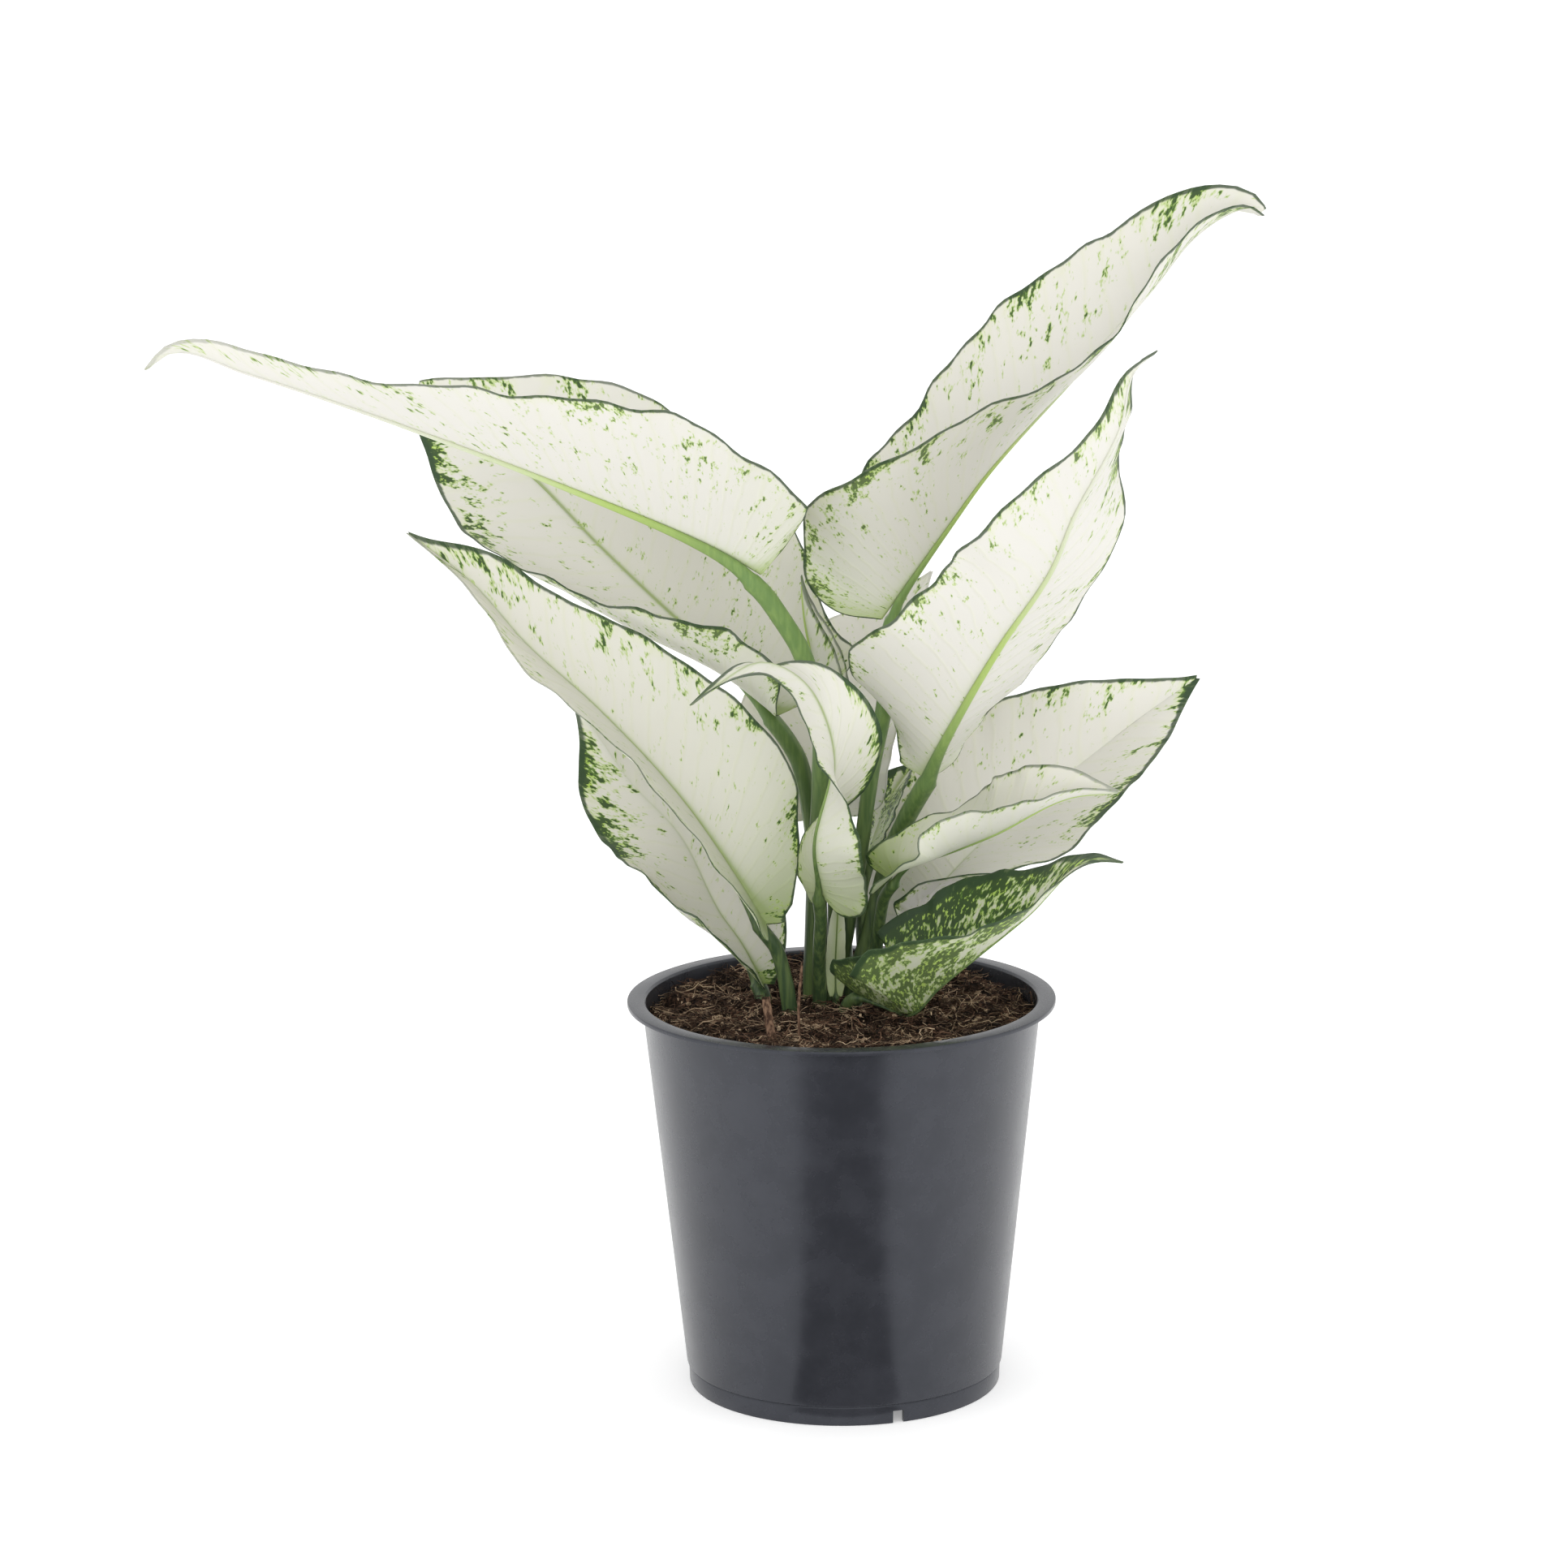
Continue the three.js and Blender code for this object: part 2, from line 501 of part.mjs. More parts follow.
/** The soil: a plug that fills the pot up to its uneven top, before the petioles' holes. */
function soilPlug() {
  const bottom = FLOOR_TOP + GAP;
  const topInner = RIM_RADIUS - FLANGE_WIDTH + 0.4 - WALL;
  const low = { r: FOOT_RADIUS - 0.2, z: FLOOR_TOP + 1 };
  const slope = (topInner - low.r) / (POT_HEIGHT - 0.6 - low.z);
  const wallAt = (z) => low.r + slope * (z - low.z) - GAP;
  const points = [[0, 0, soilHeight(0, 0)]];
  const addRing = (radius, height) => {
    for (let k = 0; k < POT_SIDES; k += 1) {
      const turn = (2 * Math.PI * k) / POT_SIDES;
      const x = Math.sin(turn) * radius(turn);
      const y = Math.cos(turn) * radius(turn);
      points.push([x, y, height(x, y)]);
    }
  };
  SOIL_RINGS.forEach((ring) => addRing(() => ring, soilHeight));
  const edge = RIM_RADIUS - FLANGE_WIDTH;
  const rimHeight = (turn) => soilHeight(Math.sin(turn) * edge, Math.cos(turn) * edge);
  addRing((turn) => wallAt(rimHeight(turn)), (x, y) => rimHeight(Math.atan2(x, y)));
  addRing(() => low.r - GAP, () => low.z + GAP);
  addRing(() => low.r - 1.3 - GAP, () => bottom);
  points.push([0, 0, bottom]);

  const rings = SOIL_RINGS.length + 3;
  const last = points.length - 1;
  const triangles = [];
  for (let k = 0; k < POT_SIDES; k += 1) {
    const next = (k + 1) % POT_SIDES;
    triangles.push([0, 1 + next, 1 + k]);
    for (let ring = 0; ring < rings - 1; ring += 1) {
      const a = 1 + ring * POT_SIDES;
      const b = a + POT_SIDES;
      triangles.push([a + k, a + next, b + next], [a + k, b + next, b + k]);
    }
    const a = 1 + (rings - 1) * POT_SIDES;
    triangles.push([a + k, a + next, last]);
  }
  return toSolid(geometryFrom(points, triangles));
}

/** The hole that a stalk stands in: the stalk's own tube, a gap wider. */
function stalkHole(path, radius) {
  const wide = (radius + GAP) / Math.cos(Math.PI / STALK_SIDES);
  return toSolid(tube(path, -GAP, ROOT_DEPTH + 12, [wide, wide], 5, STALK_SIDES));
}

const plant = new THREE.Group();

function add(name, solid, finish) {
  const mesh = new THREE.Mesh(toGeometry(solid), FINISHES[finish]);
  mesh.name = name;
  plant.add(mesh);
}

let soil = soilPlug();
for (const [name, leaf] of Object.entries(LEAVES)) {
  const path = stalkPath(leaf.stalk, leaf.rib[0]);
  soil = soil.subtract(stalkHole(path, Math.max(...leaf.thick)));
  add(name, leafSolid(leaf), name === 'leaf_low_front' ? 'mottled_leaf' : 'leaf');
}
for (const [name, stalk] of Object.entries(DRIED_STALKS)) {
  const [x, y, z] = stalk.points[0];
  const path = new Path([[x, y, z - ROOT_DEPTH], ...stalk.points]);
  soil = soil.subtract(stalkHole(path, stalk.thick[0]));
  add(name, toSolid(tube(path, 0, path.length, stalk.thick, 6, 6)), 'dried');
}
add('soil', soil, 'soil');
add('pot', pot(), 'plastic');

export default plant;
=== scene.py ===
# %% [markdown]
# # A young Chinese evergreen in a nursery pot
#
# This notebook dresses a plain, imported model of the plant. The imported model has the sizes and
# places. Here every leaf gets its fine sheet, veins and mottling, the pot its moulded plastic
# and the soil its crumbs and fibres. Lengths in tables are millimetres, as on a drawing, and
# meshes are in metres, as Blender wants them.

import math
import random

import bpy
import numpy as np
from mathutils import Euler, Matrix, Vector, noise


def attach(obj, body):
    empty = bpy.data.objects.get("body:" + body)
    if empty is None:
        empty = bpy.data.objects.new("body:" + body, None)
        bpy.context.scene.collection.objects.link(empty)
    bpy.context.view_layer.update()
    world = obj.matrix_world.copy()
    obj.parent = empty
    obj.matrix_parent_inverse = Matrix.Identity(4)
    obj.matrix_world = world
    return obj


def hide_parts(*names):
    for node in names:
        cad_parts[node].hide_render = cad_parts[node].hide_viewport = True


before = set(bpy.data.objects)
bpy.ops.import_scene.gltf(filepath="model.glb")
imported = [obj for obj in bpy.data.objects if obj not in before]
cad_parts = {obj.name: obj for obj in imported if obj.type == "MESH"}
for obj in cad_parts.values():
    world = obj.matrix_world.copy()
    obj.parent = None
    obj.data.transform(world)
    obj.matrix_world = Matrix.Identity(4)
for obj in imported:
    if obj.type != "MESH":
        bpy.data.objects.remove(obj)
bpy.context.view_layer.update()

MM = 0.001


def new_object(name, data):
    """An object of the scene that holds this data."""
    thing = bpy.data.objects.new(name, data)
    bpy.context.scene.collection.objects.link(thing)
    return thing


# %% [markdown]
# ## Camera and light
#
# The photograph was taken from a little above the leaves with a long lens, so the sides of the
# pot hardly converge. A camera at about the right distance with the right lens gives the same
# convergence, which no crop of a nearer camera would.
#
# The plant stood in a white room that lit its leaves from every side, and a white world does the
# same. A broad lamp low in front lifts the blades that face the camera, and a weaker lamp on
# each side rounds the petioles. The lamps are left out of reflections, since the glossy pot
# would show each of them as a bright patch.

# %% Camera
CAMERA_PLACE = (-0.0154, -1.3, 0.445)
CAMERA_PITCH = 0.207
CAMERA_ROLL = -0.011
CAMERA_LENS = 109.9
SENSOR_WIDTH = 36
CAMERA_REACH = 100

camera_data = bpy.data.cameras.new("camera")
camera_data.lens = CAMERA_LENS
camera_data.sensor_width = SENSOR_WIDTH
camera_data.clip_end = CAMERA_REACH
camera = new_object("camera", camera_data)
aim = Euler((math.pi / 2 - CAMERA_PITCH, 0, 0)).to_matrix() @ Matrix.Rotation(CAMERA_ROLL, 3, "Z")
camera.matrix_world = Matrix.Translation(CAMERA_PLACE) @ aim.to_4x4()
bpy.context.scene.camera = camera
bpy.context.scene.view_settings.view_transform = "Standard"
print("camera at", CAMERA_PLACE, "with a lens of", CAMERA_LENS, "mm")

# %% World and lamps
WORLD_STRENGTH = 0.94
LAMP_AIM = Vector((0, 0, 0.15))
LAMPS = {
    "lamp_left": {"place": (-1.6, -1.2, 1.9), "size": 1.4, "power": 5},
    "lamp_right": {"place": (1.9, -0.6, 1.2), "size": 1.2, "power": 4},
    "lamp_front": {"place": (0.1, -2.4, 0.7), "size": 1.6, "power": 17},
}

world = bpy.data.worlds.new("studio")
world.use_nodes = True
background = world.node_tree.nodes["Background"].inputs
background["Color"].default_value = (1, 1, 1, 1)
background["Strength"].default_value = WORLD_STRENGTH
bpy.context.scene.world = world

for name, lamp in LAMPS.items():
    light = bpy.data.lights.new(name, "AREA")
    light.size = lamp["size"]
    light.energy = lamp["power"]
    holder = new_object(name, light)
    holder.location = lamp["place"]
    holder.visible_glossy = False
    look = LAMP_AIM - Vector(lamp["place"])
    holder.rotation_euler = look.to_track_quat("-Z", "Y").to_euler()
print("lamps:", ", ".join(LAMPS))

# %% [markdown]
# ## Nodes from Python
#
# A finish is a sum of small effects: a tint here, a mask there. Written as nodes by hand they
# are hard to read, so a small class wraps a socket and lets Python's own signs add the Math
# nodes. Every other node comes from one method, which takes the node's type, its inputs and its
# settings. Finishes use it, and so do the geometry nodes of the pot and the litter.

# %% Classes for nodes and their values
def sign(operation, swapped=False):
    """What one of Python's signs does: it adds a Math node."""
    def method(self, other):
        first, second = (other, self) if swapped else (self, other)
        return self.nodes.maths(operation, first, second)
    return method


class Value:
    """One output of a node, which takes part in sums as a plain number does."""

    __add__, __radd__ = sign("ADD"), sign("ADD", True)
    __sub__, __rsub__ = sign("SUBTRACT"), sign("SUBTRACT", True)
    __mul__, __rmul__ = sign("MULTIPLY"), sign("MULTIPLY", True)
    __truediv__, __pow__ = sign("DIVIDE"), sign("POWER")
    most, least = sign("MAXIMUM"), sign("MINIMUM")

    def __init__(self, nodes, socket):
        self.nodes = nodes
        self.socket = socket

    def wave(self):
        return self.nodes.maths("SINE", self, 0.0)

    def ramp(self, low, high):
        """0 below low, 1 above high and a smooth step between."""
        values = {0: self, 1: low, 2: high}
        return self.nodes.value("MapRange", values, interpolation_type="SMOOTHSTEP")


class Nodes:
    """A tree of nodes. A type without a prefix gets the tree's own prefix."""

    def node(self, kind, values, output=0, **settings):
        """Adds a node and gives back one of its outputs, or all of them for None."""
        node = self.tree.nodes.new(kind if "Node" in kind else self.prefix + kind)
        for name, value in settings.items():
            setattr(node, name, value)
        for key, value in values.items():
            for item in value if isinstance(value, list) else [value]:
                self.put(node.inputs[key], item)
        return node.outputs if output is None else node.outputs[output]

    def put(self, socket, value):
        """Links a socket to another one, or sets it."""
        if isinstance(value, Value):
            value = value.socket
        if isinstance(value, bpy.types.NodeSocket):
            self.tree.links.new(value, socket)
        else:
            socket.default_value = value

    def value(self, kind, values, output=0, **settings):
        return Value(self, self.node(kind, values, output, **settings))

    def maths(self, operation, first, second):
        return self.value("ShaderNodeMath", {0: first, 1: second}, operation=operation)

    def vector(self, x, y, z):
        return self.node("ShaderNodeCombineXYZ", {0: x, 1: y, 2: z})

    def vector_maths(self, operation, first, second):
        key = "Scale" if operation == "SCALE" else 1
        return self.node("ShaderNodeVectorMath", {0: first, key: second}, operation=operation)


print("node classes ready")


# %% A class for a finish
class Finish(Nodes):
    """A material made of shader nodes."""

    prefix = "ShaderNode"

    def __init__(self, name):
        self.material = bpy.data.materials.new(name)
        self.material.use_nodes = True
        self.tree = self.material.node_tree
        self.shader = self.tree.nodes["Principled BSDF"]

    def set(self, **values):
        """Sets the shader's own sockets, such as base_color or roughness."""
        for name, value in values.items():
            label = name.replace("_", " ").title().replace("Ior", "IOR")
            self.put(self.shader.inputs[label], value)

    def noise(self, vector, scale, detail=2.0, roughness=0.5):
        values = {"Vector": vector, "Scale": scale, "Detail": detail, "Roughness": roughness}
        return self.value("TexNoise", values)

    def mix(self, share, first, second):
        """A colour between two colours."""
        return self.node("Mix", {0: share, 6: first, 7: second}, 2, data_type="RGBA")

    def bump(self, height, strength, distance):
        values = {"Height": height, "Strength": strength, "Distance": distance}
        self.set(normal=self.node("Bump", values))

    def place(self):
        return self.node("TexCoord", {}, "Object")

    def streaks(self, scales, detail, roughness=0.5):
        """Noise that is drawn out along the axis with the smallest scale."""
        place = self.vector_maths("MULTIPLY", self.place(), scales)
        return self.noise(place, 1, detail, roughness)

    def attribute(self, name):
        return self.node("Attribute", {}, None, attribute_name=name)

    def parts(self, kind, socket):
        """The three values that a vector or a colour is made of."""
        return [Value(self, output) for output in self.node(kind, {0: socket}, None)]


def colour(red, green, blue):
    """A colour as a painter reads it off a screen, 0 to 255, in the light values of a shader."""
    def linear(level):
        share = level / 255
        return share / 12.92 if share <= 0.04045 else ((share + 0.055) / 1.055) ** 2.4
    return (linear(red), linear(green), linear(blue), 1)


print("finish helpers ready")

# %% [markdown]
# ## The floor
#
# The floor only has to be pale and plain. It reaches past the upper edge of the picture, so
# there is no horizon behind the leaves. It glows faintly, so that it stays white in front of
# the pot and lights the undersides of the leaves, as the white floor of a studio does.

# %% Floor
def flat_sheet(name, corners, finish):
    """A flat sheet with four corners, for the stage."""
    mesh = bpy.data.meshes.new(name)
    mesh.from_pydata(corners, [], [(0, 1, 2, 3)])
    mesh.materials.append(finish.material)
    return new_object(name, mesh)


FLOOR_HALF = 30
FLOOR_CORNERS = [(x * FLOOR_HALF, y * FLOOR_HALF, 0) for x, y in
                 [(-1, -1), (1, -1), (1, 1), (-1, 1)]]
FLOOR_WHITE = colour(252, 252, 252)
FLOOR_GLOW = 0.28
floor_finish = Finish("floor_white")
floor_finish.set(base_color=FLOOR_WHITE, roughness=0.9)
floor_finish.set(emission_color=(1, 1, 1, 1), emission_strength=FLOOR_GLOW)
floor = flat_sheet("floor", FLOOR_CORNERS, floor_finish)
print("floor of", 2 * FLOOR_HALF, "m")

# %% [markdown]
# ## The dark side of the room
#
# The photograph shows a dark band down the middle of the pot, because its glossy wall mirrors
# the unlit side of the room. A white world has no such side. A black card that lies on the
# floor between the pot and the camera stands in for it. It is made visible to reflections
# alone, so it can be seen in the pot's wall and nowhere else.

# %% Dark card in front of the pot
CARD_BLACK = colour(16, 16, 18)
CARD_LIFT = 0.001
CARD_OUTLINE = [(-0.02, -0.047), (-0.5, -1.2), (0.5, -1.2), (0.02, -0.047)]
card_finish = Finish("card_black")
card_finish.set(base_color=CARD_BLACK, roughness=1.0)
card = flat_sheet("dark_card", [(x, y, CARD_LIFT) for x, y in CARD_OUTLINE], card_finish)
card.visible_camera = False
card.visible_diffuse = False
card.visible_shadow = False
print("card of", len(CARD_OUTLINE), "corners")

# %% [markdown]
# ## What a leaf is made of
#
# A leaf of this plant is a petiole that runs on as the midrib, and a blade on both sides of it.
# All the leaves share one outline; they differ in length and width and in how each half is
# folded up and curled. So each leaf is a row of a table, in millimetres and degrees. The same
# table drives the imported solids, and here it drives a finer sheet with a waved margin. Where a
# key has two values, or two rows, the left half comes first.
#
# The rows were first listed one by one. A least-squares program then fitted `rib`, `fold` and
# `trim` to the leaves' outlines in the photograph, for every leaf but the rolled one, the sheath
# and the shaded one. Its numbers were rounded, and a few were changed after that.
#
# - `stalk` and `rib`: points along the petiole and along the midrib.
# - `thick`: the petiole's radius at its foot and its neck. `keel`: how thick the midrib is.
# - `facing`: the way the blade points. `width`: the width of each half.
# - `fold`: how far each half is raised, at five stations from base to tip. `curl`: how much it
#   bends from midrib to margin.
# - `trim`: where each half is narrower or wider than the shared outline. `full`: below 1 it
#   makes the tip broader. `waist`: how much the base is pinched. `lobe`: how far the base
#   reaches back.
# - `wave`: the height, number and start of the margin's waves.
# - `mottle`: how green the margin is, at the same five stations. `inside`: how green the middle
#   is. `spread`: how far the margin's green reaches in. `grain`: above 1, the flecks are finer.
# - `green`: how far the midrib stays green. `tint`: how strongly the blade's base is tinted.

# %% The leaf table
OUTLINE = np.array([
    [0, 0, 0], [0.04, -0.05, 0.3], [0.1, -0.045, 0.6], [0.2, 0.05, 0.86], [0.35, 0.22, 1],
    [0.5, 0.4, 0.98], [0.65, 0.58, 0.8], [0.8, 0.76, 0.46], [0.9, 0.88, 0.18],
    [0.96, 0.95, 0.06], [1, 1, 0],
])

LEAVES = {}
EVEN = (1, 1, 1, 1, 1, 1, 1)
USUAL = dict(trim=(EVEN, EVEN), curl=(20, 20), full=1, waist=(0, 0), keel=1, tint=0.8, grain=1)


def row(name, **values):
    LEAVES[name] = {**USUAL, **values}


row("leaf_long_left",
    stalk=[(-8, 10, 108), (-7, 8, 139), (-5, 4, 172), (-5, -1, 192), (-9, -7, 208)],
    rib=[(-21, -12, 233), (-34, -14, 241), (-68, -20, 257), (-120, -30, 279), (-157, -38, 293),
         (-175, -42, 299), (-184, -45, 293)],
    facing=190, width=(36, 34), fold=[(71, 50, 37, 38, 85), (35, 30, 12, 5, 30)],
    trim=[(0.9, 0.9, 1.05, 1, 1, 0.75, 1.05), EVEN],
    thick=(2.4, 3), lobe=0.1, wave=(1.2, 2.6, 0.1), green=0.3, inside=0.2, spread=6,
    mottle=[(1.1, 0.85, 0.6, 0.45, 0.3), (0.6, 0.5, 0.45, 0.35, 0.3)])
row("leaf_back_left",
    stalk=[(-6, 17, 108), (-6, 20, 136), (-8, 22, 159), (-11, 21, 174)],
    rib=[(-17, 18, 188), (-30, 27, 200), (-47, 36, 214), (-68, 46, 233), (-86, 54, 251),
         (-106, 62, 266), (-122, 68, 275)],
    facing=156, width=(40, 44), fold=[(54, 18, -3, -28, -27), (60, 59, 74, 67, 78)],
    trim=[(1, 1, 1, 0.95, 1.1, 1.05, 1.05), (0.95, 0.75, 0.95, 1, 1.1, 1.05, 0.9)],
    curl=(80, 20), thick=(2.4, 2.6), lobe=0.5, full=0.6, wave=(1, 2.3, 0.4), green=1, tint=0.3,
    inside=0.2, spread=6,
    mottle=[(1.05, 1, 0.85, 1.1, 1.15), (0.8, 0.7, 0.6, 0.5, 0.5)])
row("leaf_broad_left",
    stalk=[(-14, -5, 106), (-17, -6, 124)],
    rib=[(-21, -8, 134), (-28, -8, 146), (-45, -7, 171), (-67, -4, 195), (-86, 0, 212),
         (-101, 3, 229), (-120, 5, 244)],
    facing=180, width=(29, 30), fold=[(1, 3, -1, -2, -1), (68, 82, 82, 85, 85)],
    trim=[(1, 1, 1, 1, 1, 0.85, 1.05), (0.4, 0.75, 1, 0.95, 0.9, 1, 1.4)],
    curl=(10, 10), thick=(2.2, 2.2), lobe=0.3, waist=(0.5, 0.5), wave=(1, 2.8, 0.7), green=0.9,
    tint=0.75, inside=0.1, spread=6,
    mottle=[(0.6, 0.55, 0.5, 0.35, 0.4), (0.9, 0.8, 0.65, 0.65, 0.9)])
row("leaf_low_left",
    stalk=[(-22, 6, 106)],
    rib=[(-22, 8, 113), (-28, 11, 124), (-34, 15, 132), (-45, 25, 152), (-59, 33, 166),
         (-69, 40, 179), (-76, 45, 188)],
    facing=143, width=(30, 26), fold=[(58, 20, -3, -20, -41), (85, 70, 50, 40, 40)],
    trim=[(0.6, 0.75, 0.9, 0.9, 0.9, 1, 1), (0.35, 0.6, 0.85, 1, 1, 1, 1)],
    curl=(60, 20), thick=(2.2, 2.2), lobe=0.3, waist=(0.7, 0.7), wave=(0.8, 2.5, 0.2), green=0.4,
    inside=0.12, spread=6,
    mottle=[(0.95, 1.1, 1.2, 1.15, 1), (0.95, 0.75, 0.6, 0.6, 0.8)])
row("leaf_top_right",
    stalk=[(-1, 14, 108), (4, 13, 138), (9, 12, 173), (13, 7, 197)],
    rib=[(12, 1, 218), (30, -3, 244), (41, -3, 259), (68, 0, 288), (86, 2, 308), (99, 4, 323),
         (111, 5, 329), (118, 5, 326)],
    facing=0, width=(36, 35), fold=[(54, 42, 56, 65, 74), (118, 53, 14, 13, 31)],
    trim=[(1, 1.05, 1, 0.95, 0.95, 0.95, 1), (1.15, 1.1, 0.95, 0.95, 1.05, 1.1, 1)],
    thick=(1.9, 2.8), lobe=0.8, full=0.6, wave=(1.2, 3.1, 0.3), keel=0.6, green=0.35, inside=0.2,
    spread=7,
    mottle=[(0.75, 0.75, 0.75, 0.7, 0.7), (1.05, 0.85, 0.9, 1.1, 1)])
row("leaf_upright_right",
    stalk=[(3, 10, 108), (8, 10, 127), (15, 6, 153), (19, 0, 163)],
    rib=[(23, -6, 175), (28, -15, 187), (43, -26, 215), (56, -38, 237), (62, -48, 254),
         (73, -62, 279), (76, -68, 294), (83, -74, 301)],
    facing=-47, width=(34, 36), fold=[(23, 10, 10, 35, 50), (100, 30, 19, 13, 3)],
    trim=[(0.95, 0.95, 0.9, 0.75, 1.1, 1.05, 0.95), (0.5, 0.8, 1, 0.9, 1, 0.95, 0.9)],
    thick=(2, 2.8), lobe=0.6, wave=(1.1, 2.4, 0.6), green=0.35, tint=0.6, inside=0.15, spread=5,
    mottle=[(0.65, 0.6, 0.8, 1.15, 0.9), (0.85, 0.65, 0.7, 0.65, 0.7)])
row("leaf_back_right",
    stalk=[(19, 13, 107)],
    rib=[(19, 14, 127), (33, 22, 142), (48, 32, 154), (69, 44, 167), (89, 54, 180),
         (106, 62, 190)],
    facing=25, width=(36, 34), fold=[(10, 36, 51, 78, 79), (55, 1, -4, -9, -30)],
    trim=[(1, 1, 1, 0.85, 0.95, 0.95, 1), (0.8, 0.85, 0.9, 1, 1, 1, 1.05)],
    curl=(10, 10), thick=(2.2, 2.4), lobe=0.2, full=0.9, waist=(0.5, 0.5), wave=(0.9, 2.2, 0.5),
    green=0.25, tint=0.5, inside=0.12, spread=4.5,
    mottle=[(0.65, 0.6, 0.7, 0.65, 0.7), (0.8, 0.95, 1.15, 1.25, 1.1)])
row("leaf_folded_right",
    stalk=[(9, 5, 108), (11, -4, 135)],
    rib=[(13, -14, 148), (17, -18, 152), (31, -23, 158), (42, -30, 164), (61, -41, 176),
         (75, -49, 179)],
    facing=-33, width=(19, 18), fold=[(95, 35, 56, 75, 60), (-4, 3, 29, 17, 65)],
    trim=[(0.75, 0.6, 0.95, 1, 1, 1, 1), (1, 0.95, 1.1, 1.25, 0.9, 1, 1.05)],
    thick=(1.6, 1.8), lobe=0.8, full=0.8, waist=(0, 0.9), wave=(0.8, 2.6, 0), keel=0.5, green=0.9,
    tint=0.9, inside=0.03, spread=2.5,
    mottle=[(1.1, 0.7, 0.5, 0.5, 0.4)] * 2)
row("leaf_low_front",
    stalk=[(1, -3, 107)],
    rib=[(4, -7, 114), (11, -13, 112), (19, -20, 111), (26, -24, 119), (50, -32, 141),
         (67, -38, 158), (77, -42, 158)],
    facing=-25, width=(26, 26), fold=[(88, 68, 69, 42, 17), (44, 47, 21, 2, 7)],
    trim=[(0.5, 0.75, 1, 0.9, 1, 1, 0.95), (1, 1, 0.95, 1.1, 0.95, 1, 0.95)],
    thick=(2, 2), lobe=0.6, waist=(0.3, 0.3), wave=(0.8, 2.4, 0.2), keel=0.35, green=2,
    grain=0.95, inside=1.1, spread=20,
    mottle=[(1.8, 1.8, 1.7, 1.5, 1.2), (1.75, 1.65, 1.35, 0.95, 0.65)])
row("leaf_hooked_front",
    stalk=[(-6, 4, 108), (-6, -5, 127)],
    rib=[(-5, -13, 143), (-7, -24, 160), (-2, -31, 184), (-5, -39, 200), (-12, -50, 212),
         (-22, -59, 217), (-33, -66, 212), (-41, -70, 207)],
    facing=215, width=(17, 15), fold=[(36, 9, -53, -31, 69), (5, 70, 89, -5, 77)],
    trim=[(1.2, 0.95, 0.95, 0.95, 1.05, 0.9, 0.95), (1, 1.15, 0.95, 1.1, 0.95, 0.95, 1)],
    curl=(30, 30), thick=(1.8, 1.8), lobe=1, waist=(0.3, 0.3), wave=(0.7, 2.8, 0.5), keel=0.45,
    green=0.9, inside=0.1, spread=2.5,
    mottle=[(0.9, 0.9, 0.85, 0.7, 0.5), (1, 1.05, 1, 0.85, 0.6)])
row("leaf_small_inner",
    stalk=[(7, 14, 108), (6, 19, 132)],
    rib=[(8, 20, 147), (12, 27, 156), (16, 34, 162), (23, 42, 170)],
    facing=35, width=(14, 14), fold=[(-32, -33, -17, 28, 61), (32, 25, 33, 35, 30)],
    trim=[(1, 1, 1.05, 1.05, 1.05, 1.05, 1.05), EVEN],
    thick=(1.6, 1.6), lobe=1, wave=(0.4, 2, 0), keel=0.5, green=2, grain=1.3, inside=0.7,
    spread=4,
    mottle=[(1.2,) * 5] * 2)
row("leaf_rolled_centre",
    stalk=[(-2.5, 8.5, 108), (-2, 13, 138)],
    rib=[(-4, 16, 175), (-6, 14, 191), (-7, 12, 205), (-9, 10, 217), (-10, 8, 230)],
    facing=180, width=(9, 12), fold=[(75,) * 5, (55,) * 5],
    curl=(60, 40), thick=(1.6, 1.6), lobe=0.5, wave=(0.4, 2, 0), green=1, tint=0.9, inside=0.1,
    spread=2.5,
    mottle=[(0.8, 0.6, 0.5, 0.5, 0.5)] * 2)
row("leaf_sheath",
    stalk=[(-1.5, 4.5, 107)],
    rib=[(-1.5, 4.5, 110), (-1.5, 4.5, 120), (-1, 4, 130), (-0.5, 3.5, 139)],
    facing=270, width=(3, 3), fold=[(-30, -25, -25, -20, -10)] * 2,
    curl=(-50, -50), thick=(1.1, 0.9), lobe=0, full=0.5, waist=(0.6, 0.6), wave=(0, 1, 0),
    keel=0.1, green=2, tint=1, inside=0, spread=1,
    mottle=[(0,) * 5] * 2)
row("leaf_shaded_back",
    stalk=[(1.5, 20.5, 108), (0, 30, 139)],
    rib=[(-3, 36, 156), (-3, 42, 172), (5, 54, 188), (17, 68, 204), (29, 80, 219)],
    facing=60, width=(28, 28), fold=[(20,) * 5] * 2,
    curl=(10, 10), thick=(2.2, 2.2), lobe=0.5, wave=(0.8, 2.2, 0), green=0.3, tint=0.3,
    inside=0.08, spread=4,
    mottle=[(0.3,) * 5] * 2)
print(len(LEAVES), "leaves in the table")

# %% [markdown]
# ## Curves through a few points
#
# A midrib is a smooth curve through a handful of points. A cubic piece between two points, with
# the mean slope of its neighbours at each end, passes through all of them without overshooting
# much. The same helper reads the folds between their stations.

